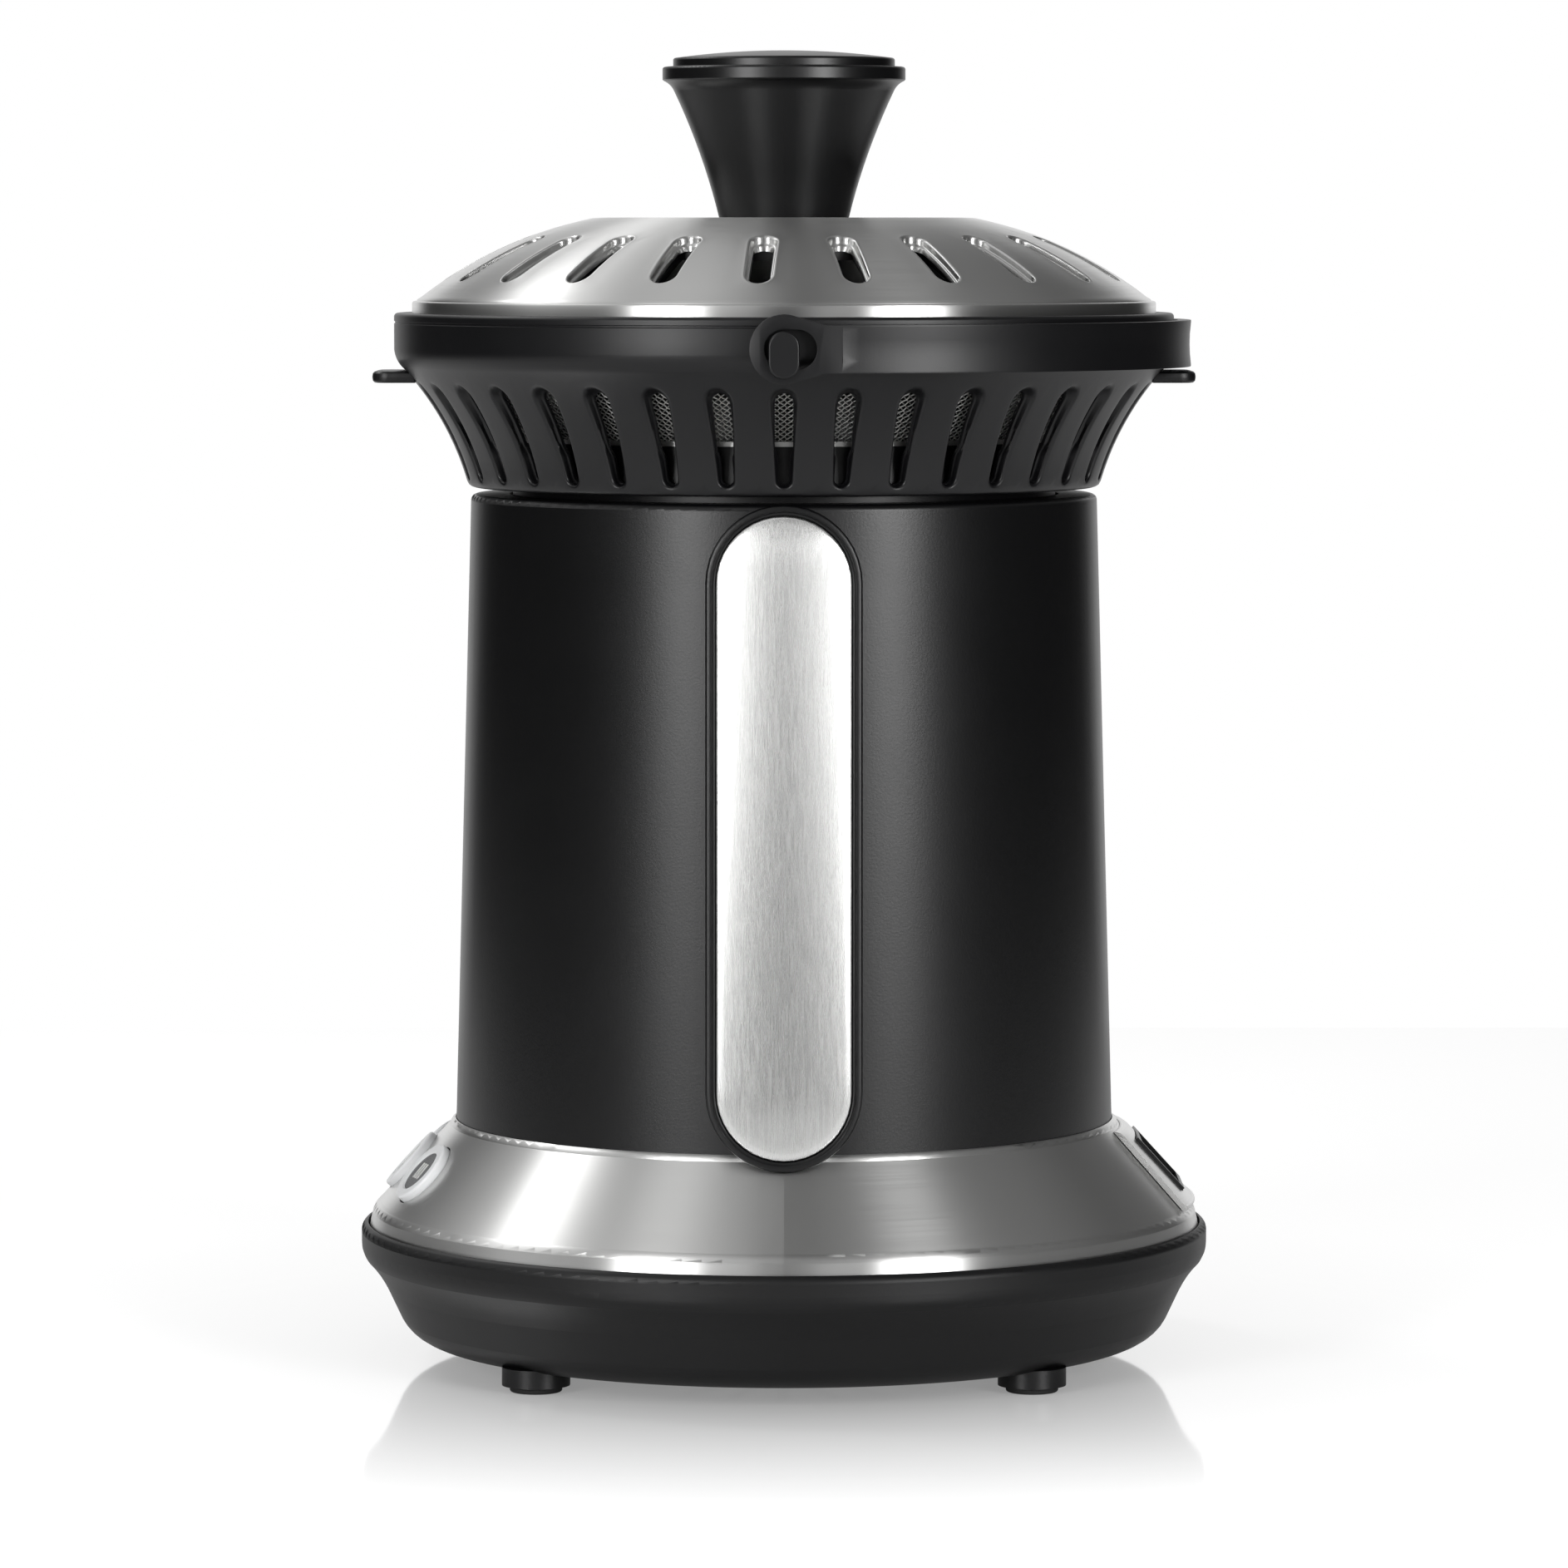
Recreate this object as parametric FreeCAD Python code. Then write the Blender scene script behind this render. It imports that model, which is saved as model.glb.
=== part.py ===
import FreeCAD, Part
import math
import os

# Home hot-air coffee bean roaster. Millimetres, +Z up, origin on the counter under the centre.
# The controls face -Y, the bail folds to the rear (+Y), and its pivots lie on the X axis.

os.makedirs("parts", exist_ok=True)

# Fits
run_fit = 0.05          # shaft in a bearing, and one piece nested in another
slip = 0.3              # loose fit between neighbouring pieces
slide_fit = 0.6         # parts that lift out of each other

# Base pan and feet
pad_radius = 6.3
pad_depth = 3.0
pad_proud = 1.6
boss_radius = 8.2
boss_height = 3.3
foot_circle = 84.0      # radius of the circle through the feet
pan_radius = 104.2
pan_depth = 29.0
pan_wall = 2.2
pan_corner = 20.2       # how far the flat underside ends inside the lip
pan_waist = 6.2         # how far the flank's waist lies inside the lip
lip_height = 8.9        # from the flank's flare to the top of the lip
vent_count = 20
vent_width = 3.0
vent_inner = 22.0
vent_length = 20.0

# Steel skirt
sheet = 1.0
skirt_radius = 102.3
skirt_band = 6.6
skirt_crease = 2.0
skirt_lip = 1.6
skirt_height = 29.6
skirt_sink = 3.9        # seat below the top of the pan's lip
skirt_top_radius = 82.3
seat_width = 2.9

# Body shell
body_rise = 153.4       # from the skirt's lip to the top of the shell
body_low_radius = 80.8
body_top_radius = 76.7
shell_wall = 2.5
shell_edge = 1.6

# Side strips
strip_width = 37.1
inlay_width = 32.0
strip_drop = 3.7        # how far a strip's lower end hangs over the skirt
strip_low_proud = 4.4
strip_bend_proud = 4.6
strip_high_proud = 2.6
strip_top_proud = 1.0
strip_low_bend = 17.0
strip_high_bend = 9.8
inlay_depth = 1.0
inlay_sink = 0.5

# Collector
collar_gap = 1.8
neck_radius = 66.5
neck_wall = 4.1
neck_depth = 18.8
collector_foot_radius = 77.0
collector_radius = 95.4
collector_height = 42.4
cone_height = 28.7
cone_corner = 5.0
collector_wall = 2.6
collector_floor = 2.4
shoulder_width = 8.4
slot_count = 36
slot_width = 4.7
slot_foot = 1.8
slot_height = 23.6
recess_width = 8.2
recess_depth = 1.1
tab_reach = 100.4
tab_width = 26.0
tab_thickness = 2.9
tab_drop = 14.1         # top of a tab below the shoulder

# Bail and its pivots
bail_gap = 1.0
bail_thickness = 3.2
bail_height = 11.3
bail_hollow = 0.35
pivot_drop = 7.35       # pivot axis below the shoulder
eye_radius = 8.1
eye_blend = 9.6
eye_slot_radius = 4.6
eye_slot_reach = 3.1
stud_radius = 3.5
stud_flange = 4.7
head_width = 7.3
head_height = 11.0
head_drop = 1.3
head_thickness = 1.7

# Lid and knob
lid_radius = 91.0
lid_height = 23.2
lid_rim = 2.0
lid_slot_count = 22
lid_slot_width = 6.1
lid_slot_inner = 62.0
lid_slot_outer = 83.0
lid_slot_turn = -4.2
plateau_radius = 47.0
grille_radius = 86.4
grille_ring = 2.4
grille_drop = 6.2
rib_count = 44
rib_width = 1.4
rib_depth = 3.0
hub_radius = 12.0
spoke_count = 6
spoke_width = 5.0
knob_base_radius = 15.9
knob_rim_radius = 29.7
knob_height = 36.7
knob_rim_height = 3.4
cap_radius = 27.1
cap_height = 2.2
cap_crown = 1.8
screw_radius = 2.0
screw_head = 4.0
screw_length = 13.5
washer_radius = 6.5
washer_thickness = 0.8

# Chassis, blower and motor
chassis_radius = 81.5
chassis_thickness = 2.0
chassis_height = 46.1   # above the underside of the pan
post_circle = 75.0
post_radius = 4.0
blower_radius = 66.0
blower_wall = 1.6
blower_height = 28.0
blower_inlet = 32.0
blower_outlet = 46.0
blower_flange = 6.0
flange_thickness = 2.0
motor_radius = 25.0
motor_height = 24.0
shaft_radius = 2.5
bearing_radius = 6.0
bearing_height = 4.0
bracket_ring = 4.7
bracket_height = 4.0
bracket_arm = 12.0
impeller_radius = 57.0
impeller_inner = 30.0
impeller_height = 14.0
impeller_plate = 1.6
blade_count = 14
blade_thickness = 1.4
hub_bore_wall = 4.0

# Heater and roast chamber
duct_radius = 50.0
duct_wall = 1.2
duct_height = 40.0
frame_sheet = 1.2
coil_radius = 36.0
coil_wire = 0.8
coil_turns = 6
coil_pitch = 4.2
coil_start = 8.0
well_wall = 0.9
gasket_height = 2.0
gasket_width = 6.0
chamber_radius = 58.0
chamber_wall = 2.4
chamber_mouth = 46.0
floor_sheet = 1.0
floor_slot_count = 36
floor_slot_width = 1.6
floor_slot_length = 16.0

# Buttons on the front of the skirt
button_turn = 17.0
button_radius = 8.45
button_face_radius = 5.55
button_proud = 1.8
button_depth = 2.8
button_travel = 0.8
button_drop = 11.6      # button centre below the skirt's lip
stem_radius = 1.6
stem_length = 0.5
carrier_gap = 10.0
carrier_wall = 2.0
carrier_span = 58.0
switch_size = 6.0

# Board, inlet and rear cover
board_length = 56.0
board_width = 26.0
board_thickness = 1.6
board_height = 9.0
board_place = 66.0
cover_span = 27.0
cover_proud = 1.9
inlet_width = 24.0
inlet_tall = 17.0
inlet_deep = 15.0
inlet_wall = 1.6
pin_width = 4.0
pin_thickness = 2.0
pin_length = 9.0
pin_spacing = 7.0

# Levels that follow from the sizes above
pan_z = pad_proud + boss_height
lip_z = pan_z + pan_depth
seat_z = lip_z - skirt_sink
skirt_z = seat_z + skirt_height
body_z = skirt_z + body_rise
chassis_z = pan_z + chassis_height
plate_z = chassis_z + chassis_thickness
collector_z = body_z + collar_gap
cone_z = collector_z + cone_height
shoulder_z = collector_z + collector_height
pivot_z = shoulder_z - pivot_drop
plateau_z = shoulder_z + lid_height
knob_rim_z = plateau_z + knob_height
blower_z = plate_z + flange_thickness + 9.0 - blower_height
blower_top_z = blower_z + blower_height
duct_z = blower_top_z + duct_height
motor_z = blower_z - 2.0 - motor_height
well_floor_z = duct_z + duct_wall
chamber_z = well_floor_z + gasket_height
cone_rise = skirt_height - skirt_band - skirt_crease - skirt_lip
slope = math.atan2(cone_rise, skirt_radius - 2.3 - skirt_top_radius)

ORIGIN = FreeCAD.Vector(0, 0, 0)
UP = FreeCAD.Vector(0, 0, 1)
ACROSS = FreeCAD.Vector(1, 0, 0)


def section(start, *steps):
    # A closed face in the XZ plane: a step is a point, or two points that an arc passes and meets.
    first = FreeCAD.Vector(start[0], 0, start[1])
    here = first
    edges = []
    for step in steps:
        pair = step if isinstance(step[0], tuple) else (step,)
        points = [FreeCAD.Vector(r, 0, z) for r, z in pair]
        if len(points) == 2:
            edges.append(Part.Arc(here, points[0], points[1]).toShape())
        else:
            edges.append(Part.makeLine(here, points[0]))
        here = points[-1]
    if here.distanceToPoint(first) > 1e-6:
        edges.append(Part.makeLine(here, first))
    return Part.Face(Part.Wire(edges))


def turned(start, *steps):
    return section(start, *steps).revolve(ORIGIN, UP, 360)


def turned_part(middle, span, start, *steps):
    # A turned piece that covers only part of the circle, centred on the direction "middle".
    piece = section(start, *steps).revolve(ORIGIN, UP, span)
    return spun(piece, middle - span / 2)


def disc(radius, low, high):
    return Part.makeCylinder(radius, high - low, FreeCAD.Vector(0, 0, low))


def tube(outer, inner, low, high):
    return disc(outer, low, high).cut(disc(inner, low, high))


def block(x, y, z):
    # A box from three (low, high) pairs.
    corner = FreeCAD.Vector(x[0], y[0], z[0])
    return Part.makeBox(x[1] - x[0], y[1] - y[0], z[1] - z[0], corner)


def spun(shape, angle):
    copy = shape.copy()
    copy.rotate(ORIGIN, UP, angle)
    return copy


def moved(shape, x, y, z):
    copy = shape.copy()
    copy.translate(FreeCAD.Vector(x, y, z))
    return copy


def ring_of(shape, count, first=0.0):
    return [spun(shape, first + i * 360.0 / count) for i in range(count)]


def joined(shapes):
    whole = shapes[0]
    if len(shapes) > 1:
        whole = shapes[0].multiFuse(shapes[1:])
    return whole.removeSplitter()


def save(name, shape):
    solids = shape.Solids
    piece = solids[0] if len(solids) == 1 else Part.makeCompound(solids)
    piece.exportStep("parts/" + name + ".step")


def obround(inner, outer, width, low, high):
    # A radial slot cutter along +X with rounded ends.
    half = width / 2
    ends = [moved(disc(half, low, high), x, 0, 0) for x in (inner + half, outer - half)]
    middle = block((inner + half, outer - half), (-half, half), (low, high))
    return joined([middle] + ends)


def skirt_r(z):
    # Outer radius of the skirt's cone at a height.
    run = (skirt_z - skirt_lip - z) / math.tan(slope)
    return skirt_top_radius + run


def body_r(z):
    share = (z - skirt_z) / body_rise
    return body_low_radius + share * (body_top_radius - body_low_radius)


def on_skirt(angle, drop, shape):
    # Turns a shape built along +Z at the origin onto the skirt, so that +Z points out of it.
    z = skirt_z - drop
    copy = shape.copy()
    copy.rotate(ORIGIN, FreeCAD.Vector(0, 1, 0), math.degrees(slope))
    copy.translate(FreeCAD.Vector(skirt_r(z), 0, z))
    copy.rotate(ORIGIN, UP, angle)
    return copy


# Base

def pan_outline(inset):
    # Flat underside, rounded corner, flank and the lower part of the flare.
    r = pan_radius
    low = pan_z + inset
    return [
        (0, low),
        (r - pan_corner, low),
        ((r - pan_corner + 6.9 - inset * 0.7, low + 1.7), (r - pan_corner + 10.4 - inset, low + 5.5)),
        (r - pan_waist - inset, lip_z - 15.9),
    ]


def make_base_pan():
    r = pan_radius
    outer = turned(
        *pan_outline(0.0),
        ((r - 4.2, lip_z - 12.5), (r - 1.2, lip_z - lip_height)),
        ((r - 0.3, lip_z - 7.0), (r, lip_z - 4.9)),
        (r, lip_z - 2.3),
        ((r - 0.35, lip_z - 0.8), (r - 1.3, lip_z)),
        (0, lip_z),
    )
    seat_inner = skirt_radius - seat_width
    cavity = turned(
        *pan_outline(pan_wall),
        (seat_inner, lip_z - 10.0),
        (seat_inner, lip_z + 1.0),
        (0, lip_z + 1.0),
    )
    recess = disc(skirt_radius + slip, seat_z, lip_z + 1.0)
    feet = ring_of(moved(disc(boss_radius, pad_proud, pan_z + pan_wall / 2), foot_circle, 0, 0), 4, 45)
    post = moved(disc(post_radius, pan_z + pan_wall / 2, chassis_z), post_circle, 0, 0)
    stand = disc(2.5, pan_z + pan_wall / 2, pan_z + board_height)
    stands = [moved(stand, x, y, 0) for x, y in board_corners()]
    shell = joined([outer.cut(cavity).cut(recess)] + feet + ring_of(post, 4, 45) + stands)
    cups = ring_of(moved(disc(pad_radius + run_fit, 0, pad_depth), foot_circle, 0, 0), 4, 45)
    vent = obround(vent_inner, vent_inner + vent_length, vent_width, pan_z - 1, pan_z + pan_wall + 1)
    bore = moved(disc(screw_radius - 0.4 + run_fit, chassis_z - 10.2, chassis_z), post_circle, 0, 0)
    return shell.cut(cups + ring_of(vent, vent_count) + ring_of(bore, 4, 45))


def board_corners():
    x = board_length / 2 - 4
    y = board_width / 2 - 4
    return [(i * x, -board_place + j * y) for i in (-1, 1) for j in (-1, 1)]


def make_foot_pads():
    pad = moved(disc(pad_radius, 0, pad_depth), foot_circle, 0, 0)
    low_edge = [edge for edge in pad.Edges if edge.BoundBox.ZMax < 0.01]
    return Part.makeCompound(ring_of(pad.makeFillet(0.6, low_edge), 4, 45))


def make_chassis_screws():
    shank = disc(screw_radius - 0.4, chassis_z - 10.0, plate_z)
    head = disc(screw_radius + 0.2, plate_z, plate_z + 1.6)
    screw = moved(joined([shank, head]), post_circle, 0, 0)
    return Part.makeCompound(ring_of(screw, 4, 45))


def make_chassis_plate():
    plate = tube(chassis_radius, blower_radius + slip, chassis_z, plate_z)
    hole = moved(disc(screw_radius, chassis_z, plate_z), post_circle, 0, 0)
    return plate.cut(ring_of(hole, 4, 45))


def skirt_solid(shift):
    # The skirt's outer form, moved inwards by "shift".
    r = skirt_radius - shift
    top = skirt_top_radius - shift
    crease_z = seat_z + skirt_band
    return turned(
        (0, seat_z),
        (r, seat_z),
        (r, seat_z + 2.6),
        (r - 0.9, crease_z),
        ((r - 1.4, crease_z + 1.05), (skirt_r(crease_z + skirt_crease) - shift, crease_z + skirt_crease)),
        (top, skirt_z - skirt_lip),
        ((top - 0.55, skirt_z - 0.55), (top - 1.5, skirt_z)),
        (0, skirt_z),
    )


def body_cone(gap, low, high):
    return turned((0, low), (body_r(low) + gap, low), (body_r(high) + gap, high), (0, high))


def inlet_cutter(gap):
    w = inlet_width / 2 + gap
    t = inlet_tall / 2 + gap
    return on_skirt(90, button_drop, block((-t, t), (-w, w), (-inlet_deep - 2, 6)))


def button_cutter(angle, radius):
    return on_skirt(angle, button_drop, disc(radius, -6, 6))


def make_steel_skirt():
    skirt = skirt_solid(0.0).cut(skirt_solid(sheet))
    skirt = skirt.cut(body_cone(0.2, seat_z, skirt_z + 1))
    holes = [button_cutter(a, button_radius + slip + 0.1) for a in button_angles()]
    notches = [strip_prism(strip_width / 2 + slip / 2, side, 60, 95) for side in (1, -1)]
    return skirt.cut(holes + notches + [inlet_cutter(slip)])


def make_rear_cover():
    low = seat_z + skirt_band + 2.2
    high = skirt_z - 2.0
    cover = turned_part(
        90, cover_span,
        (skirt_r(low) + 0.15, low),
        (skirt_r(low) + cover_proud * 0.5, low),
        ((skirt_r(low) + cover_proud * 0.8, low + 0.5), (skirt_r(low + 1.2) + cover_proud, low + 1.2)),
        (skirt_r(high - 1.2) + cover_proud, high - 1.2),
        ((skirt_r(high) + cover_proud * 0.8, high - 0.2), (skirt_r(high) + cover_proud * 0.3, high)),
        (skirt_r(high) + 0.15, high),
    )
    return cover.cut(inlet_cutter(slip))


def make_power_inlet():
    w = inlet_width / 2
    t = inlet_tall / 2
    top = cover_proud * math.sin(slope) + 0.2
    box = block((-t, t), (-w, w), (-inlet_deep, top))
    inside = block(
        (-t + inlet_wall, t - inlet_wall),
        (-w + inlet_wall, w - inlet_wall),
        (-inlet_deep + inlet_wall, top + 1),
    )
    slots = [pin_block(i, run_fit, -inlet_deep - 1, top) for i in (-1, 0, 1)]
    return on_skirt(90, button_drop, box.cut(inside).cut(slots))


def pin_block(i, gap, low, high):
    # The middle contact sits off the line of the outer two.
    shift = 2.0 if i == 0 else -2.0
    half_w = pin_thickness / 2 + gap
    half_t = pin_width / 2 + gap
    y = i * pin_spacing
    return block((shift - half_t, shift + half_t), (y - half_w, y + half_w), (low, high))


def make_inlet_pins():
    low = -inlet_deep - 3.0
    pins = [pin_block(i, 0, low, -inlet_deep + pin_length) for i in (-1, 0, 1)]
    return on_skirt(90, button_drop, Part.makeCompound(pins))


def make_body_shell():
    low = plate_z
    outer = turned(
        (0, low),
        (body_r(low), low),
        (body_r(body_z - shell_edge), body_z - shell_edge),
        ((body_top_radius - 0.45, body_z - 0.45), (body_top_radius - shell_edge, body_z)),
        (0, body_z),
    )
    inner = body_cone(-shell_wall, low, body_z - shell_wall)
    mouth = disc(neck_radius + slide_fit + 0.2, low, body_z + 1)
    return outer.cut(inner).cut(mouth)


# Side strips: raised frames with a steel inlay, one on each side

def strip_prism(half_width, side, near, far):
    # A stadium in the YZ plane, drawn out along X.
    inset = strip_width / 2 - half_width
    low = skirt_z - strip_drop + inset
    high = body_z + 0.3 - inset
    ends = [
        Part.makeCylinder(half_width, far - near, FreeCAD.Vector(near, 0, z), ACROSS)
        for z in (low + half_width, high - half_width)
    ]
    middle = block((near, far), (-half_width, half_width), (low + half_width, high - half_width))
    piece = joined([middle] + ends)
    return piece if side > 0 else spun(piece, 180)


def strip_face(depth):
    # The strips' outer form, lowered by "depth".
    low = skirt_z - strip_drop - 1
    bend = low + strip_low_bend
    high_bend = body_z - strip_high_bend
    high = body_z + 1
    return turned(
        (0, low),
        (body_r(low) + strip_low_proud - depth, low),
        (body_r(bend) + strip_bend_proud - depth, bend),
        (body_r(high_bend) + strip_high_proud - depth, high_bend),
        (body_r(high) + strip_top_proud - depth, high),
        (0, high),
    )


def make_strip_frame(side):
    low = skirt_z - strip_drop - 1
    blank = strip_prism(strip_width / 2, side, 60, 95).common(strip_face(0.0))
    pocket = strip_prism(inlay_width / 2 + run_fit, side, 60, 95).cut(strip_face(inlay_sink + inlay_depth))
    above = disc(120, body_z - 0.05, body_z + 2)
    return blank.cut(body_cone(0.15, low - 1, body_z + 2)).cut(pocket).cut(above)


def make_strip_inlay(side):
    plate = strip_face(inlay_sink).cut(strip_face(inlay_sink + inlay_depth - run_fit))
    return plate.common(strip_prism(inlay_width / 2, side, 60, 95))


# Blower, motor and heater

def make_blower_housing():
    outer = disc(blower_radius, blower_z, blower_top_z)
    inner = disc(blower_radius - blower_wall, blower_z + blower_wall, blower_top_z - blower_wall)
    flange = disc(blower_radius + blower_flange, plate_z, plate_z + flange_thickness)
    solid = joined([outer, flange]).cut(inner)
    inlet = disc(blower_inlet, blower_z - 1, blower_z + blower_wall + 1)
    outlet = disc(blower_outlet, blower_top_z - blower_wall - 1, blower_top_z + 1)
    return solid.cut([inlet, outlet])


def make_motor():
    low = motor_z
    high = motor_z + motor_height
    can = turned(
        (shaft_radius + 0.8, low),
        (motor_radius - 2, low),
        (motor_radius, low + 2),
        (motor_radius, high - 2),
        (motor_radius - 2, high),
        (shaft_radius + 0.8, high),
    )
    pockets = [disc(bearing_radius + run_fit, z, z + bearing_height) for z in (low, high - bearing_height)]
    return can.cut(pockets)


def make_motor_bearings():
    levels = (motor_z, motor_z + motor_height - bearing_height)
    return Part.makeCompound(
        [tube(bearing_radius, shaft_radius + run_fit, z, z + bearing_height) for z in levels]
    )


def make_motor_bracket():
    high = motor_z + motor_height - 4.0
    inner = motor_radius + slip / 2
    ring = tube(inner + bracket_ring, inner, high - bracket_height, high)
    reach = inner + bracket_ring + bracket_arm
    arm = block((inner + 1, reach), (-4, 4), (high - bracket_height, high))
    leg = block((reach - 5, reach), (-4, 4), (high - bracket_height, blower_z))
    return joined([ring] + ring_of(joined([arm, leg]), 3, 90))


def make_motor_shaft():
    return disc(shaft_radius, motor_z - 0.8, blower_z + blower_wall + impeller_height + 4.0)


def make_impeller():
    low = blower_z + blower_wall + 2.4
    high = low + impeller_height
    plate = disc(impeller_radius, high - impeller_plate, high)
    hub = disc(shaft_radius + hub_bore_wall, low, high)
    blade = curved_blade(low, high - impeller_plate / 2)
    solid = joined([plate, hub] + ring_of(blade, blade_count))
    return solid.cut(disc(shaft_radius + run_fit, low - 1, high + 1))


def curved_blade(low, high):
    # One backward-curved blade: a piece of a ring whose centre lies off the shaft.
    middle = impeller_radius * 0.6
    bend = impeller_radius * 0.74
    ring = tube(bend + blade_thickness / 2, bend - blade_thickness / 2, low, high)
    ring = moved(ring, impeller_radius * 0.1, middle, 0)
    reach = tube(impeller_radius - 0.5, impeller_inner, low, high)
    side = block((impeller_inner / 2, impeller_radius), (-impeller_inner, impeller_radius), (low, high))
    return ring.common(reach).common(side)


def make_heater_duct():
    wall = tube(duct_radius, duct_radius - duct_wall, blower_top_z, duct_z)
    flange = tube(duct_radius + 6, duct_radius - duct_wall, blower_top_z, blower_top_z + duct_wall)
    return joined([wall, flange])


def make_heater_frame():
    # Two crossed sheets: wide feet that rest on the housing, and a narrow upright inside the coil.
    half = frame_sheet / 2
    wide = duct_radius - duct_wall - slip
    narrow = coil_radius - coil_wire - slip
    low = blower_top_z
    foot = [(-wide, wide), (-half, half), (low, low + 4.0)]
    upright = [(-narrow, narrow), (-half, half), (low + 3.0, low + coil_start + coil_turns * coil_pitch + 4)]
    sheet_one = joined([block(*foot), block(*upright)])
    return joined([sheet_one, spun(sheet_one, 90)])


def helix_point(turn):
    angle = 2 * math.pi * turn
    z = blower_top_z + coil_start + coil_pitch * turn
    return FreeCAD.Vector(coil_radius * math.cos(angle), coil_radius * math.sin(angle), z)


def helix_way(turn):
    angle = 2 * math.pi * turn
    rise = coil_pitch / (2 * math.pi)
    way = FreeCAD.Vector(-coil_radius * math.sin(angle), coil_radius * math.cos(angle), rise)
    return way.normalize()


def arc_from(start, apex, end):
    # The arc that leaves "start" towards "apex" and comes into "end" from it.
    weight = (end - start).Length / 2 / (apex - start).Length
    middle = (start + end + apex * (2 * weight)) * (1 / (2 + 2 * weight))
    return Part.Arc(start, middle, end).toShape()


def biarc(start, way_in, end, way_out):
    across = end - start
    both = across.dot(way_in + way_out)
    bend = 2 * (1 - way_in.dot(way_out))
    reach = (-both + math.sqrt(both * both + bend * across.dot(across))) / bend
    first = start + way_in * reach
    second = end - way_out * reach
    joint = (first + second) * 0.5
    return [arc_from(start, first, joint), arc_from(joint, second, end)]


def make_heater_coil():
    quarters = [i / 4 for i in range(coil_turns * 4 + 1)]
    edges = []
    for a, b in zip(quarters, quarters[1:]):
        edges += biarc(helix_point(a), helix_way(a), helix_point(b), helix_way(b))
    lead = 2 * coil_wire
    first = helix_point(0)
    last = helix_point(coil_turns)
    start = first - helix_way(0) * lead
    end = last + helix_way(coil_turns) * lead
    path = Part.Wire([Part.makeLine(start, first)] + edges + [Part.makeLine(last, end)])
    ring = Part.Wire(Part.makeCircle(coil_wire, start, helix_way(0)))
    print("coil gap to itself", round(coil_pitch - 2 * coil_wire, 2), "length", round(path.Length, 1))
    return path.makePipeShell([ring], True, False)


def make_thermal_cutout():
    low = blower_top_z + 14
    can = Part.makeCylinder(7.5, 6, FreeCAD.Vector(duct_radius + 0.1, 0, low + 8), ACROSS)
    tails = [
        block((duct_radius + 6.1, duct_radius + 12), (y - 1.5, y + 1.5), (low + 7.6, low + 8.4))
        for y in (-4, 4)
    ]
    return spun(joined([can] + tails), 90)


# Chamber

def make_chamber_well():
    inner = neck_radius + slide_fit
    high = body_z - shell_wall
    wall = tube(inner + well_wall, inner, duct_z, high)
    bottom = tube(inner + well_wall, blower_outlet + 2, duct_z, well_floor_z)
    return joined([wall, bottom])


def make_seat_gasket():
    outer = chamber_radius - 2
    return tube(outer, outer - gasket_width, well_floor_z, chamber_z)


def make_roast_chamber():
    wall = chamber_wall
    inner = chamber_radius - wall
    rim_z = collector_z - wall
    cup = turned(
        (chamber_mouth, chamber_z),
        (chamber_radius - wall, chamber_z),
        ((chamber_radius - 0.7, chamber_z + 0.7), (chamber_radius, chamber_z + wall)),
        (chamber_radius, rim_z),
        (neck_radius - neck_wall - slip, rim_z),
        (neck_radius - neck_wall - slip, collector_z),
        (inner, collector_z),
        (inner, chamber_z + wall),
        (chamber_mouth, chamber_z + wall),
    )
    return cup


def make_chamber_floor():
    low = chamber_z + chamber_wall
    plate = disc(chamber_radius - chamber_wall - slip, low, low + floor_sheet)
    inner = chamber_mouth - 3.0 - floor_slot_length
    slot = obround(inner, inner + floor_slot_length, floor_slot_width, low - 1, low + 2)
    return plate.cut(ring_of(slot, floor_slot_count))


def make_neck_ring():
    inner = neck_radius - neck_wall
    ledge_z = collector_z - chamber_wall
    wall = tube(neck_radius, inner, collector_z - neck_depth, collector_z)
    ledge = tube(inner + 0.5, chamber_radius + slip, ledge_z - 2.0, ledge_z)
    return joined([wall, ledge])


# Collector

def collector_outline(shift):
    # Foot, flared flank, rounded corner and upright wall, moved inwards by "shift".
    foot = collector_foot_radius - shift
    r = collector_radius - shift
    return [
        (foot - 0.9, collector_z),
        ((foot - 0.1, collector_z + 0.3), (foot + 0.6, collector_z + 1.2)),
        ((foot + 5.2, collector_z + 13.0), (r - 2.5, cone_z)),
        ((r - 0.7, cone_z + 2.3), (r, cone_z + cone_corner)),
    ]


def collector_form():
    return turned(
        (0, collector_z),
        *collector_outline(0.0),
        (collector_radius, shoulder_z - 2),
        ((collector_radius - 0.6, shoulder_z - 0.6), (collector_radius - 2, shoulder_z)),
        (0, shoulder_z),
    )


def collector_hollow(wall):
    inner = turned(
        (0, collector_z - 1),
        (collector_foot_radius - 0.9 - wall, collector_z - 1),
        *collector_outline(wall),
        (collector_radius - wall, shoulder_z - wall),
        (collector_radius - shoulder_width, shoulder_z - wall),
        (collector_radius - shoulder_width, shoulder_z + 1),
        (0, shoulder_z + 1),
    )
    return inner.cut(disc(collector_radius, collector_z - 2, collector_z + collector_floor))


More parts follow.
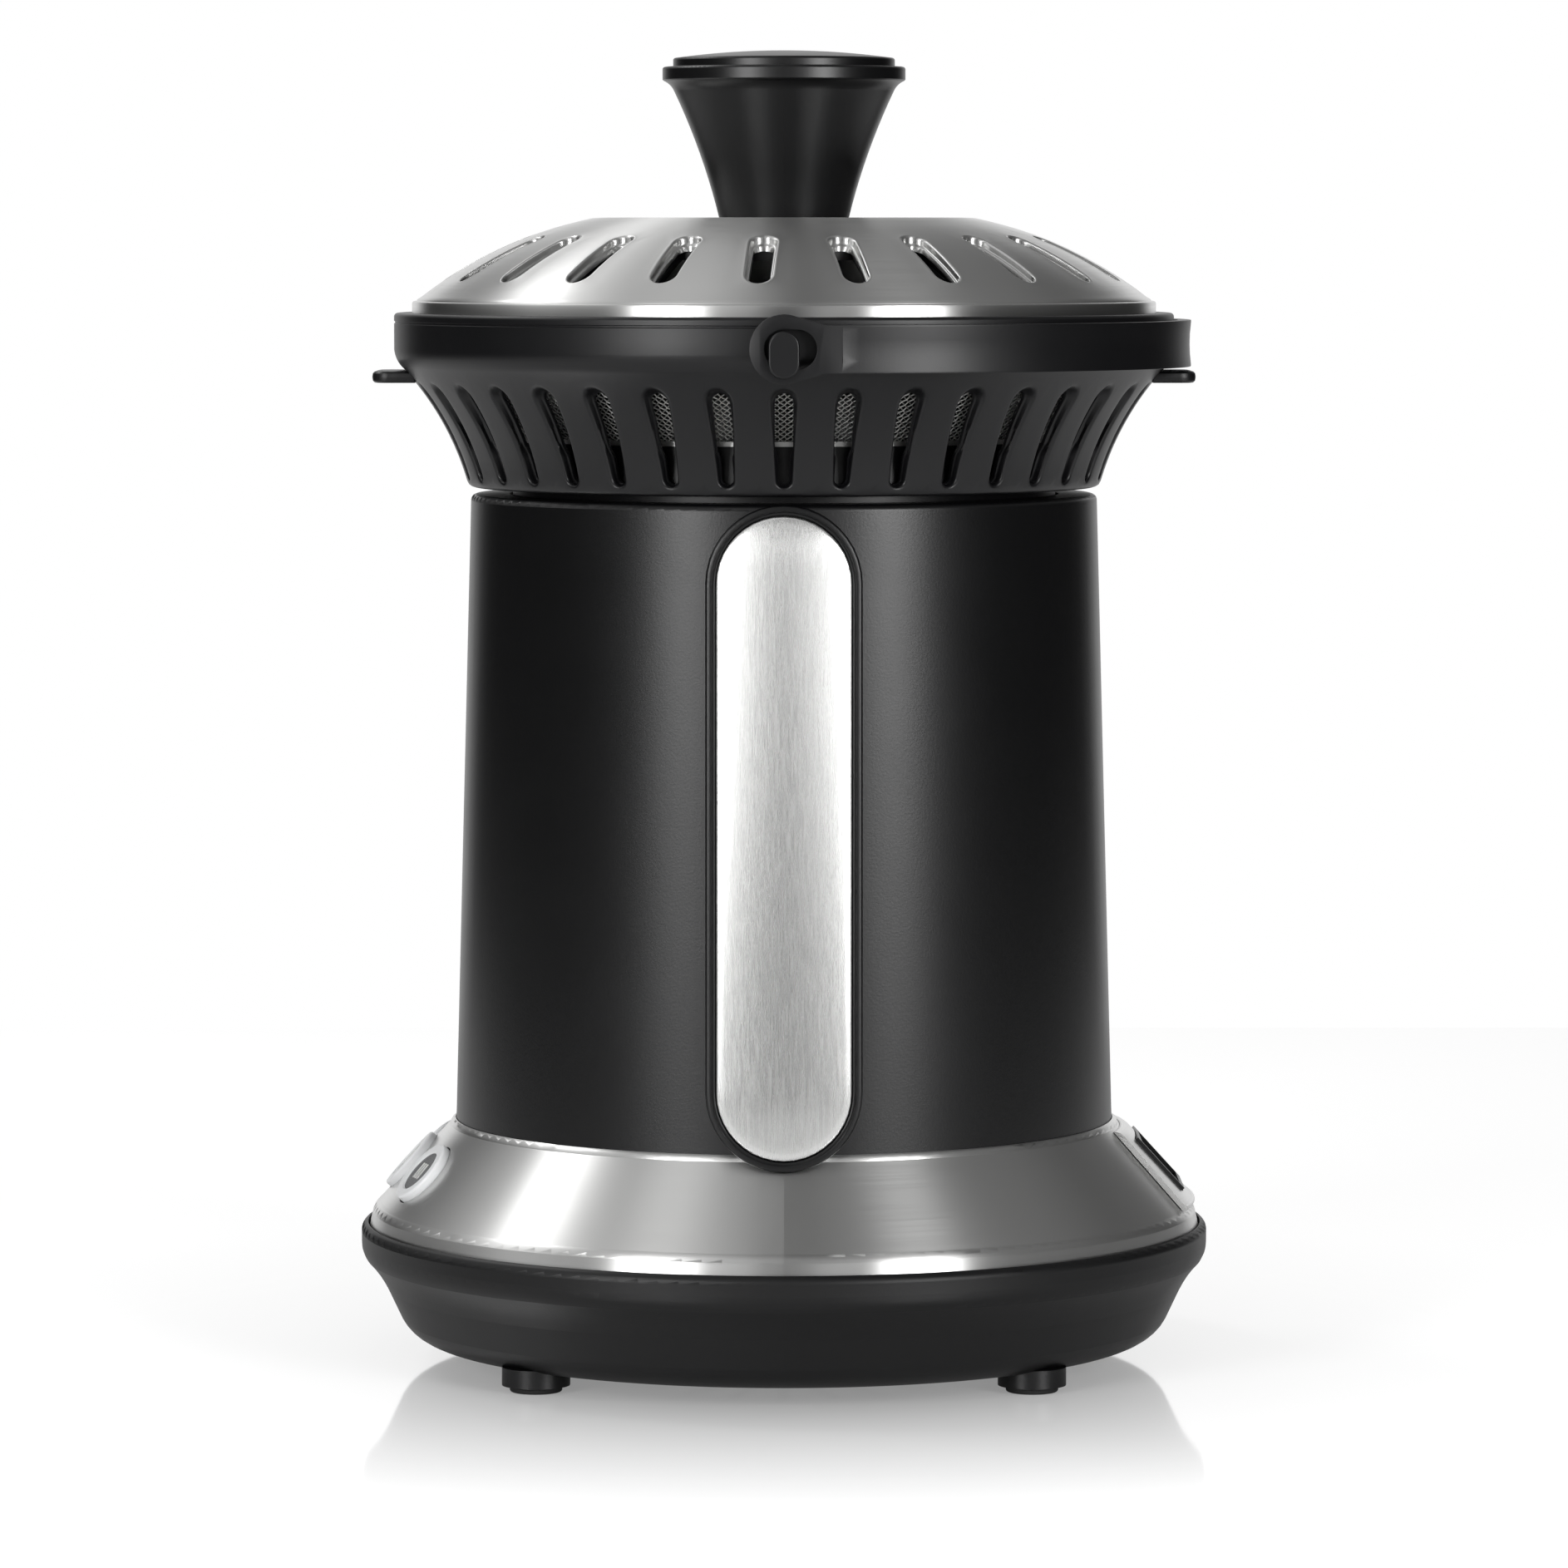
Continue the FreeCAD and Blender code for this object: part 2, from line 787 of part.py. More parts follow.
def make_collector_shell():
    mouth = disc(chamber_radius - chamber_wall, collector_z - 1, shoulder_z)
    shell = joined([collector_form()] + [spun(make_tab(), a) for a in (90, 270)])
    shell = shell.cut(collector_hollow(collector_wall)).cut(mouth)
    low = collector_z + slot_foot
    through = radial_slot(slot_width, low + 1.0, low + slot_height - 1.6, collector_radius - 27)
    pins = [pivot_bore(side) for side in (1, -1)]
    slots = [spun(through, i * 360.0 / slot_count) for i in range(slot_count)]
    recess = radial_slot(recess_width, low, low + slot_height, collector_radius - 27)
    recess = recess.cut(turned((0, collector_z - 1), *collector_outline(recess_depth), (0, cone_z + 6)))
    recesses = ring_of(recess, slot_count)
    return shell.cut(recesses).cut(slots + pins)


def radial_slot(width, low, high, start):
    # An upright slot with round ends that cuts outwards along +X.
    half = width / 2
    reach = 40.0
    ends = [
        Part.makeCylinder(half, reach, FreeCAD.Vector(start, 0, z), ACROSS)
        for z in (low + half, high - half)
    ]
    middle = block((start, start + reach), (-half, half), (low + half, high - half))
    return joined([middle] + ends)


def make_tab():
    high = shoulder_z - tab_drop
    tab = block((80, tab_reach), (-tab_width / 2, tab_width / 2), (high - tab_thickness, high))
    corners = [e for e in tab.Edges if e.BoundBox.XMin > tab_reach - 1 and e.BoundBox.ZLength > 1]
    tab = tab.makeFillet(4.0, corners)
    rim = [e for e in tab.Edges if e.BoundBox.XMin > tab_reach - 5 and e.BoundBox.ZLength < 0.1]
    return tab.makeFillet(tab_thickness * 0.42, rim)


def pivot_bore(side):
    start = FreeCAD.Vector(side * (collector_radius - 12), 0, pivot_z)
    return Part.makeCylinder(stud_radius + run_fit, 20, start, ACROSS * side)


def make_chaff_cup():
    low = collector_z + collector_floor
    foot = collector_foot_radius - collector_wall - 0.9
    inner = chamber_radius - chamber_wall
    return turned(
        (inner, low),
        (foot, low),
        (foot, low + 9.3),
        (foot - 1.2, low + 9.3),
        (foot - 1.2, low + 1.2),
        (inner + 1.4, low + 1.2),
        (inner + 1.4, low + 20.0),
        (inner, low + 20.0),
    )


def screen_line():
    foot = collector_foot_radius - collector_wall - 0.9
    low = collector_z + collector_floor + 9.3 + 1.2
    return foot - 0.2, low, collector_radius - 7.8, cone_z + 1.5


def make_mesh_screen():
    r1, z1, r2, z2 = screen_line()
    return turned((r1, z1), (r2, z2), (r2 - 0.7, z2), (r1 - 0.7, z1))


def make_screen_rings():
    r1, z1, r2, z2 = screen_line()
    low = tube(r1, r1 - 1.2, z1 - 1.2, z1)
    high = turned((r2 - 1.2, z2), (r2 + 0.4, z2), (r2 + 3.0, z2 + 2.0), (r2 + 3.0, z2 + 3.0), (r2 - 1.2, z2 + 3.0))
    return Part.makeCompound([low, high])


def make_pivot_stud(side):
    wall_inner = collector_radius - collector_wall
    eye_outer = collector_radius + bail_gap + bail_thickness
    head_x = eye_outer + 0.4
    base = FreeCAD.Vector(wall_inner - 2.2, 0, pivot_z)
    flange = Part.makeCylinder(stud_flange, 2.0, base, ACROSS)
    shank = Part.makeCylinder(stud_radius, head_x - wall_inner + 3.0, base, ACROSS)
    half = head_width / 2
    reach = head_height / 2 - half
    middle_z = pivot_z - head_drop
    ends = [
        Part.makeCylinder(half, head_thickness, FreeCAD.Vector(head_x, 0, middle_z + s * reach), ACROSS)
        for s in (-1, 1)
    ]
    middle = block((head_x, head_x + head_thickness), (-half, half), (middle_z - reach, middle_z + reach))
    head = joined([middle] + ends)
    rim = [e for e in head.Edges if e.BoundBox.XMin > head_x + head_thickness - 0.01]
    stud = joined([flange, shank, head.makeFillet(0.5, rim)])
    wall = collector_form().cut(collector_hollow(collector_wall + run_fit))
    stud = stud.cut(wall.cut(pivot_bore(1)))
    return stud if side > 0 else spun(stud, 180)


# Bail

def bail_band():
    inner = collector_radius + bail_gap
    outer = inner + bail_thickness
    half = eye_radius + 1
    edge = bail_height / 2
    tall = turned((inner, -half), (outer, -half), (outer, half), (inner, half))
    hollow = turned((outer, -edge + 0.5), ((outer - bail_hollow, 0), (outer, edge - 0.5)), (outer + 1, 0))
    return moved(tall, 0, 0, pivot_z), moved(hollow, 0, 0, pivot_z)


def eye_plate():
    # Side view of the strap: two round eyes that blend into the band behind them.
    far = 110.0
    edge = bail_height / 2
    strap = block((-far, far), (0, far), (pivot_z - edge, pivot_z + edge))
    eye = Part.makeCylinder(eye_radius, 2 * far, FreeCAD.Vector(-far, 0, pivot_z), ACROSS)
    rise = math.sqrt(eye_radius ** 2 - 9.0)
    corners = [(3.0, rise), (eye_blend, edge), (eye_blend, -edge), (3.0, -rise)]
    points = [FreeCAD.Vector(-far, y, pivot_z + z) for y, z in corners]
    blend = Part.Face(Part.makePolygon(points + points[:1])).extrude(FreeCAD.Vector(2 * far, 0, 0))
    return joined([strap, eye, blend])


def make_bail_handle():
    band, hollow = bail_band()
    bail = band.common(eye_plate())
    ends = [
        Part.makeCylinder(eye_slot_radius, 220, FreeCAD.Vector(-110, y, pivot_z), ACROSS)
        for y in (0, eye_slot_reach)
    ]
    half = eye_slot_radius
    middle = block((-110, 110), (0, eye_slot_reach), (pivot_z - half, pivot_z + half))
    behind = block((-110, 110), (eye_blend + 4, 110), (pivot_z - 20, pivot_z + 20))
    return bail.cut(joined([middle] + ends)).cut(hollow.common(behind))


# Lid and knob

def lid_solid(drop, trim=0.0):
    # The dome's form, lowered by "drop" and with its rim drawn in by "trim".
    r = lid_radius - trim
    low = shoulder_z - drop
    high = plateau_z - drop
    return turned(
        (0, low),
        (r, low),
        (r, low + lid_rim),
        ((r - 0.3, low + lid_rim + 0.7), (r - 1.1, low + lid_rim + 1.0)),
        ((73.6 - trim, high - 9.6), (plateau_radius - trim, high - 0.15)),
        (plateau_radius - trim - 3.0, high),
        (0, high),
    )


def make_lid_dome():
    dome = lid_solid(0.0).cut(lid_solid(sheet, sheet))
    slot = obround(lid_slot_inner, lid_slot_outer, lid_slot_width, shoulder_z, plateau_z)
    hole = disc(screw_radius + run_fit, plateau_z - 5, plateau_z + 1)
    return dome.cut(ring_of(slot, lid_slot_count, lid_slot_turn) + [hole])


def make_lid_grille():
    gap = sheet + slip
    under = lid_solid(gap + 0.6, 2.0).cut(lid_solid(gap + 0.6 + rib_depth, 2.0))
    rib = block((lid_slot_inner - 3, grille_radius - 1), (-rib_width / 2, rib_width / 2), (shoulder_z, plateau_z))
    spoke = block((hub_radius - 4, lid_slot_inner), (-spoke_width / 2, spoke_width / 2), (shoulder_z, plateau_z))
    inner_ring = tube(lid_slot_inner, lid_slot_inner - 3, shoulder_z, plateau_z)
    bars = ring_of(rib, rib_count, lid_slot_turn + 4.1) + ring_of(spoke, spoke_count)
    webs = joined([under.common(piece) for piece in bars + [inner_ring]])
    ring = tube(grille_radius, grille_radius - grille_ring, shoulder_z - grille_drop, shoulder_z + 3.0)
    hub = disc(hub_radius, plateau_z - sheet - 3.0, plateau_z - sheet)
    return joined([webs, ring, hub]).cut(disc(screw_radius + run_fit, plateau_z - 9, plateau_z + 1))


def make_knob_body():
    rim_low = knob_rim_z - knob_rim_height
    body = turned(
        (0, plateau_z),
        (knob_base_radius, plateau_z),
        ((knob_base_radius + 5.1, plateau_z + 16.8), (knob_rim_radius - 2.8, rim_low - 2.4)),
        ((knob_rim_radius - 1.7, rim_low - 0.9), (knob_rim_radius - 0.3, rim_low)),
        (knob_rim_radius, rim_low + 0.3),
        (knob_rim_radius, knob_rim_z - 0.6),
        ((knob_rim_radius - 0.2, knob_rim_z - 0.2), (knob_rim_radius - 0.6, knob_rim_z)),
        (0, knob_rim_z),
    )
    hollow = turned(
        (0, plateau_z + screw_length - 1.0),
        (knob_base_radius - 7, plateau_z + screw_length - 1.0),
        (cap_radius - 3.6, knob_rim_z - 3.0),
        (cap_radius - 3.6, knob_rim_z + 1),
        (0, knob_rim_z + 1),
    )
    return body.cut(hollow).cut(disc(screw_radius + run_fit, plateau_z - 1, plateau_z + screw_length))


def make_knob_cap():
    low = knob_rim_z
    high = low + cap_height
    cap = turned(
        (0, low),
        (cap_radius, low),
        (cap_radius, high - 0.6),
        ((cap_radius - 0.2, high - 0.2), (cap_radius - 0.7, high)),
        ((cap_radius / 2, high + cap_crown * 0.74), (1.0, high + cap_crown)),
        (0, high + cap_crown),
    )
    skirt = tube(cap_radius - 3.6 - slip, cap_radius - 5.4, low - 2.4, low + 0.5)
    return joined([cap, skirt])


def make_knob_washer():
    high = plateau_z - sheet - 3.0
    return tube(washer_radius, screw_radius + run_fit, high - washer_thickness, high)


def make_knob_screw():
    under = plateau_z - sheet - 3.0 - washer_thickness
    shank = disc(screw_radius, under - 1, under + screw_length)
    head = disc(screw_head, under - 2.6, under)
    return joined([head, shank])


# Buttons, board and switches

def button_angles():
    return [-90 - button_turn, -90, -90 + button_turn]


def make_button_ring(angle):
    outer = button_radius
    inner = button_face_radius + run_fit
    top = button_proud
    ring = turned(
        (inner, -button_depth),
        (outer, -button_depth),
        (outer, top - 0.7),
        ((outer - 0.2, top - 0.2), (outer - 0.7, top)),
        (inner + 0.4, top),
        (inner, top - 0.4),
    )
    return on_skirt(angle, button_drop, ring)


def make_button_face(angle):
    face = disc(button_face_radius, -button_depth, button_proud - 0.35)
    stem = disc(stem_radius, -button_depth - stem_length, -button_depth + 0.5)
    return on_skirt(angle, button_drop, joined([face, stem]))


def make_button_carrier():
    low = seat_z + skirt_band
    high = chassis_z
    gap = carrier_gap
    wall = carrier_wall
    strip = turned_part(
        -90, carrier_span,
        (skirt_r(low) - gap - wall, low),
        (skirt_r(low) - gap, low),
        (skirt_r(high) - gap, high),
        (skirt_r(high) - gap - wall - 8, high),
        (skirt_r(high) - gap - wall - 8, high - wall),
        (skirt_r(high - wall) - gap - wall, high - wall),
    )
    bores = ring_of(moved(disc(post_radius + slip, low, high), post_circle, 0, 0), 4, 45)
    return strip.cut(bores)


def make_tact_switches():
    half = switch_size / 2
    seat = -carrier_gap * math.sin(slope) + run_fit
    top = -button_depth - stem_length - button_travel - 0.1
    body = block((-half, half), (-half, half), (seat, top - 0.7))
    nub = disc(1.5, top - 0.8, top)
    switch = joined([body, nub])
    return Part.makeCompound([on_skirt(a, button_drop, switch) for a in button_angles()])


def make_control_board():
    low = pan_z + board_height
    x = board_length / 2
    y = board_width / 2
    return block((-x, x), (-board_place - y, -board_place + y), (low, low + board_thickness))


def make_board_parts():
    low = pan_z + board_height + board_thickness
    relay = block((-24, -9), (-board_place - 9, -board_place + 2), (low, low + 11))
    choke = block((-4, 8), (-board_place - 8, -board_place + 4), (low, low + 9))
    chip = block((13, 22), (-board_place - 4, -board_place + 4), (low, low + 2.4))
    return Part.makeCompound([relay, choke, chip])


def build():
    save("base_pan", make_base_pan())
    save("foot_pads", make_foot_pads())
    save("chassis_plate", make_chassis_plate())
    save("chassis_screws", make_chassis_screws())
    save("steel_skirt", make_steel_skirt())
    save("rear_cover", make_rear_cover())
    save("power_inlet", make_power_inlet())
    save("inlet_pins", make_inlet_pins())
    save("body_shell", make_body_shell())
    for name, side in (("right", 1), ("left", -1)):
        save("strip_frame_" + name, make_strip_frame(side))
        save("strip_inlay_" + name, make_strip_inlay(side))
        save("pivot_stud_" + name, make_pivot_stud(side))
    save("blower_housing", make_blower_housing())
    save("motor", make_motor())
    save("motor_bearings", make_motor_bearings())
    save("motor_bracket", make_motor_bracket())
    save("motor_shaft", make_motor_shaft())
    save("impeller", make_impeller())
    save("heater_duct", make_heater_duct())
    save("heater_frame", make_heater_frame())
    save("heater_coil", make_heater_coil())
    save("thermal_cutout", make_thermal_cutout())
    save("chamber_well", make_chamber_well())
    save("seat_gasket", make_seat_gasket())
    save("roast_chamber", make_roast_chamber())
    save("chamber_floor", make_chamber_floor())
    save("neck_ring", make_neck_ring())
    save("collector_shell", make_collector_shell())
    save("chaff_cup", make_chaff_cup())
    save("mesh_screen", make_mesh_screen())
    save("screen_rings", make_screen_rings())
    save("bail_handle", make_bail_handle())
    save("lid_dome", make_lid_dome())
    save("lid_grille", make_lid_grille())
    save("knob_body", make_knob_body())
    save("knob_cap", make_knob_cap())
    save("knob_washer", make_knob_washer())
    save("knob_screw", make_knob_screw())
    for number, angle in enumerate(button_angles(), 1):
        save("button_%d_ring" % number, make_button_ring(angle))
        save("button_%d_face" % number, make_button_face(angle))
    save("button_carrier", make_button_carrier())
    save("tact_switches", make_tact_switches())
    save("control_board", make_control_board())
    save("board_parts", make_board_parts())


build()
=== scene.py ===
import math

import bmesh
import bpy
from mathutils import Matrix, Vector


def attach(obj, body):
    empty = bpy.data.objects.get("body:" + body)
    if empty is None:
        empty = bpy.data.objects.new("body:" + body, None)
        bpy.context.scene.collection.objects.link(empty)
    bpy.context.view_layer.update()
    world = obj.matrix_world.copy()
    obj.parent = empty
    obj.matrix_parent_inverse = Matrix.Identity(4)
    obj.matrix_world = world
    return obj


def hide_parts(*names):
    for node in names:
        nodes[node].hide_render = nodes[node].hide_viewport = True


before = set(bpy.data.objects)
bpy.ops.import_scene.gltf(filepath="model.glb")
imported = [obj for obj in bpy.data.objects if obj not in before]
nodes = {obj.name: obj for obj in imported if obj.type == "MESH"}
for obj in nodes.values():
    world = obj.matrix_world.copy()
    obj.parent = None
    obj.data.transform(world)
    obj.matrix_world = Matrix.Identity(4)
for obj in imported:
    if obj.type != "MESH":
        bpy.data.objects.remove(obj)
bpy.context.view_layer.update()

scene = bpy.context.scene
scene.view_settings.view_transform = "Standard"
mm = 0.001
print("frame loaded:", len(nodes), "nodes")


# Small helpers for colours, node trees and meshes

def toLinear(hexColour):
    channels = [int(hexColour[i:i + 2], 16) / 255 for i in (1, 3, 5)]
    return [c / 12.92 if c <= 0.04045 else ((c + 0.055) / 1.055) ** 2.4 for c in channels] + [1.0]


def addNode(tree, kind, settings=None, inputs=None):
    # Inputs are values, or other nodes' outputs, which are linked.
    node = tree.nodes.new(kind)
    for name, value in (settings or {}).items():
        setattr(node, name, value)
    for name, value in (inputs or {}).items():
        if isinstance(value, bpy.types.NodeSocket):
            tree.links.new(value, node.inputs[name])
        else:
            node.inputs[name].default_value = value
    return node


def newMaterial(name, shader):
    # A material with one Principled shader, whose constants are in "shader".
    material = bpy.data.materials.new(name)
    material.use_nodes = True
    tree = material.node_tree
    tree.nodes.clear()
    principled = addNode(tree, "ShaderNodeBsdfPrincipled", None, shader)
    addNode(tree, "ShaderNodeOutputMaterial", None, {"Surface": principled.outputs[0]})
    return material, tree, principled


def addBump(tree, principled, height, strength, distance):
    bump = addNode(tree, "ShaderNodeBump", None, {
        "Height": height, "Strength": strength, "Distance": distance,
    })
    tree.links.new(bump.outputs[0], principled.inputs["Normal"])


# Materials. Every pattern reads Object coordinates, which are metres in the roaster's own frame.

def mouldedPlastic(name, hexColour, roughness, ior, grain, depth, mottle=0.04):
    # Injection moulded plastic with a spark-eroded grain: a fine satin sheen without sharp reflections.
    material, tree, principled = newMaterial(name, {
        "Base Color": toLinear(hexColour), "Roughness": roughness, "IOR": ior,
        "Specular IOR Level": 0.33,     # a grained face scatters part of its gloss away
    })
    place = addNode(tree, "ShaderNodeTexCoord").outputs["Object"]
    fine = addNode(tree, "ShaderNodeTexNoise", None, {
        "Vector": place, "Scale": 1 / grain, "Detail": 2.0, "Roughness": 0.6,
    })
    soft = addNode(tree, "ShaderNodeTexNoise", None, {"Vector": place, "Scale": 60.0, "Detail": 3.0})
    rough = addNode(tree, "ShaderNodeMapRange", None, {
        "Value": soft.outputs[0], "To Min": roughness - mottle, "To Max": roughness + mottle,
    })
    tree.links.new(rough.outputs[0], principled.inputs["Roughness"])
    addBump(tree, principled, fine.outputs[0], 0.5, depth)
    return material


def brushedSteel(name, hexColour, roughness, anisotropy, upright, lineGap, depth):
    # Stainless sheet brushed with a belt or on a spindle: highlights stretch across the brush lines.
    material, tree, principled = newMaterial(name, {
        "Base Color": toLinear(hexColour), "Metallic": 1.0, "Roughness": roughness,
        "Anisotropic": anisotropy,
    })
    place = addNode(tree, "ShaderNodeTexCoord").outputs["Object"]
    flat = addNode(tree, "ShaderNodeVectorMath", {"operation": "MULTIPLY"}, {
        0: place, 1: (1.0, 1.0, 0.0),
    })
    turn = addNode(tree, "ShaderNodeVectorMath", {"operation": "NORMALIZE"}, {0: flat.outputs[0]})
    if upright:
        lines = addNode(tree, "ShaderNodeVectorMath", {"operation": "MULTIPLY"}, {
            0: place, 1: (1 / lineGap, 1 / lineGap, 1 / 0.12),
        }).outputs[0]
        across = addNode(tree, "ShaderNodeVectorMath", {"operation": "CROSS_PRODUCT"}, {
            0: (0.0, 0.0, 1.0), 1: turn.outputs[0],
        }).outputs[0]
    else:
        split = addNode(tree, "ShaderNodeSeparateXYZ", None, {"Vector": place})
        reach = addNode(tree, "ShaderNodeVectorMath", {"operation": "LENGTH"}, {0: flat.outputs[0]})
        slow = addNode(tree, "ShaderNodeVectorMath", {"operation": "SCALE"}, {
            0: turn.outputs[0], "Scale": 2.0,
        })
        slope = addNode(tree, "ShaderNodeMath", {"operation": "SUBTRACT"}, {
            0: reach.outputs["Value"], 1: split.outputs["Z"],
        })
        rise = addNode(tree, "ShaderNodeMath", {"operation": "MULTIPLY"}, {0: slope.outputs[0], 1: 1 / lineGap})
        up = addNode(tree, "ShaderNodeCombineXYZ", None, {"Z": rise.outputs[0]})
        lines = addNode(tree, "ShaderNodeVectorMath", {"operation": "ADD"}, {
            0: slow.outputs[0], 1: up.outputs[0],
        }).outputs[0]
        across = (0.0, 0.0, 1.0)
    # The shader stretches a highlight along its tangent, so the tangent lies across the brush lines.
    way = addNode(tree, "ShaderNodeVectorTransform", {
        "vector_type": "VECTOR", "convert_from": "OBJECT", "convert_to": "WORLD",
    }, {"Vector": across})
    tree.links.new(way.outputs[0], principled.inputs["Tangent"])
    scratches = addNode(tree, "ShaderNodeTexNoise", None, {
        "Vector": lines, "Scale": 1.0, "Detail": 2.0, "Roughness": 0.6,
    })
    rough = addNode(tree, "ShaderNodeMapRange", None, {
        "Value": scratches.outputs[0], "From Min": 0.3, "From Max": 0.7,
        "To Min": roughness - 0.02, "To Max": roughness + 0.02,
    })
    tree.links.new(rough.outputs[0], principled.inputs["Roughness"])
    addBump(tree, principled, scratches.outputs[0], 0.12, depth)
    return material


def plainMetal(name, hexColour, roughness):
    # Zinc plated or drawn metal: an even soft gloss with faint clouding from the plating bath.
    material, tree, principled = newMaterial(name, {
        "Base Color": toLinear(hexColour), "Metallic": 1.0, "Roughness": roughness,
    })
    place = addNode(tree, "ShaderNodeTexCoord").outputs["Object"]
    cloud = addNode(tree, "ShaderNodeTexNoise", None, {"Vector": place, "Scale": 120.0, "Detail": 4.0})
    rough = addNode(tree, "ShaderNodeMapRange", None, {
        "Value": cloud.outputs[0], "To Min": roughness - 0.08, "To Max": roughness + 0.08,
    })
    tree.links.new(rough.outputs[0], principled.inputs["Roughness"])
    return material


blackNylon = mouldedPlastic("satinBlackNylon", "#08080A", 0.38, 1.53, 0.0006, 0.00002)
blackPolypropylene = mouldedPlastic("mouldedBlackPolypropylene", "#070708", 0.44, 1.49, 0.0007, 0.00003)
texturedAbs = mouldedPlastic("sparkTexturedBlackAbs", "#050506", 0.33, 1.54, 0.0006, 0.00004, 0.02)
phenolic = mouldedPlastic("mouldedPhenolic", "#060607", 0.34, 1.60, 0.0008, 0.00001)
padRubber = mouldedPlastic("mattBlackRubber", "#1B1B1B", 0.75, 1.52, 0.0006, 0.00004)
paleAcetal = mouldedPlastic("milkyWhiteAcetal", "#D9DADB", 0.38, 1.48, 0.0008, 0.00001)
skirtSteel = brushedSteel("spindleBrushedStainless", "#C6C6C5", 0.33, 0.88, False, 0.0004, 0.000008)
stripSteel = brushedSteel("beltBrushedStainless", "#D8D8D7", 0.27, 0.65, True, 0.0003, 0.000004)
buttonSteel = brushedSteel("darkNickelledSteel", "#77787A", 0.25, 0.3, True, 0.0006, 0.000005)
wireSteel = plainMetal("wovenStainlessWire", "#DCDCDA", 0.42)
zincSteel = plainMetal("zincPlatedSteel", "#B9BDC2", 0.36)
motorSteel = plainMetal("drawnMotorSteel", "#8F9296", 0.38)
brass = plainMetal("drawnBrass", "#C9A45C", 0.3)
heaterWire = plainMetal("oxidisedHeaterWire", "#6B625A", 0.5)
redSilicone = mouldedPlastic("mouldedSilicone", "#8E3A2E", 0.55, 1.42, 0.0008, 0.00001)
micaSheet = mouldedPlastic("micaSheet", "#A99C84", 0.4, 1.58, 0.0015, 0.00003)
laminate = mouldedPlastic("glassEpoxyLaminate", "#1F5A34", 0.35, 1.55, 0.0008, 0.00001)

# Borosilicate glass: clear, with a faint warm edge.
chamberGlass = newMaterial("borosilicateGlass", {
    "Base Color": toLinear("#F4F6F2"), "Roughness": 0.03, "IOR": 1.47, "Transmission Weight": 1.0,
})[0]

finishes = {
    blackPolypropylene: ["base_pan"],
    padRubber: ["foot_pads"],
    zincSteel: ["chassis_plate", "chassis_screws", "motor_bearings", "motor_bracket", "heater_duct",
                "thermal_cutout", "chamber_well", "knob_washer", "knob_screw"],
    skirtSteel: ["steel_skirt", "rear_cover", "lid_dome"],
    stripSteel: ["strip_inlay_right", "strip_inlay_left"],
    texturedAbs: ["body_shell", "power_inlet", "strip_frame_right", "strip_frame_left"],
    brass: ["inlet_pins"],
    blackNylon: ["blower_housing", "impeller", "button_carrier", "tact_switches", "board_parts",
                 "pivot_stud_right", "pivot_stud_left", "neck_ring", "collector_shell", "chaff_cup",
                 "bail_handle", "lid_grille"],
    motorSteel: ["motor", "motor_shaft"],
    micaSheet: ["heater_frame"],
    heaterWire: ["heater_coil"],
    redSilicone: ["seat_gasket"],
    chamberGlass: ["roast_chamber"],
    wireSteel: ["chamber_floor", "mesh_screen", "screen_rings"],
    phenolic: ["knob_body", "knob_cap"],
    laminate: ["control_board"],
    paleAcetal: ["button_1_ring", "button_2_ring", "button_3_ring"],
    buttonSteel: ["button_1_face", "button_2_face", "button_3_face"],
}
for material, names in finishes.items():
    for name in names:
        piece = nodes[name]
        if not piece.material_slots:
            piece.data.materials.append(material)
        for place in piece.material_slots:
            place.material = material
print("materials on", sum(len(names) for names in finishes.values()), "nodes")


# Profiles are drawn as (radius, height) in millimetres: a pair is a straight step, two pairs are an arc.

def arcPoints(start, way, end, steps=10):
    (ax, ay), (bx, by), (cx, cy) = start, way, end
    d = 2 * (ax * (by - cy) + bx * (cy - ay) + cx * (ay - by))
    a2, b2, c2 = ax * ax + ay * ay, bx * bx + by * by, cx * cx + cy * cy
    ox = (a2 * (by - cy) + b2 * (cy - ay) + c2 * (ay - by)) / d
    oy = (a2 * (cx - bx) + b2 * (ax - cx) + c2 * (bx - ax)) / d
    first, last = math.atan2(ay - oy, ax - ox), math.atan2(cy - oy, cx - ox)
    passing = math.atan2(by - oy, bx - ox)
    turn = (last - first) % math.tau
    if (passing - first) % math.tau > turn:
        turn -= math.tau
    radius = math.hypot(ax - ox, ay - oy)
    angles = [first + turn * i / steps for i in range(1, steps + 1)]
    return [(ox + radius * math.cos(a), oy + radius * math.sin(a)) for a in angles]


def profileLine(start, *steps):
    line = [start]
    for step in steps:
        if isinstance(step[0], tuple):
            line += arcPoints(line[-1], step[0], step[1])
        else:
            line.append(step)
    return line


def readLine(line, value, given, wanted):
    # The other coordinate of a profile where coordinate "given" has this value.
    for a, b in zip(line, line[1:]):
        low, high = sorted((a[given], b[given]))
        if low <= value <= high and high > low:
            share = (value - a[given]) / (b[given] - a[given])
            return a[wanted] + share * (b[wanted] - a[wanted])
    nearest = min(line, key=lambda p: abs(p[given] - value))
    return nearest[wanted]


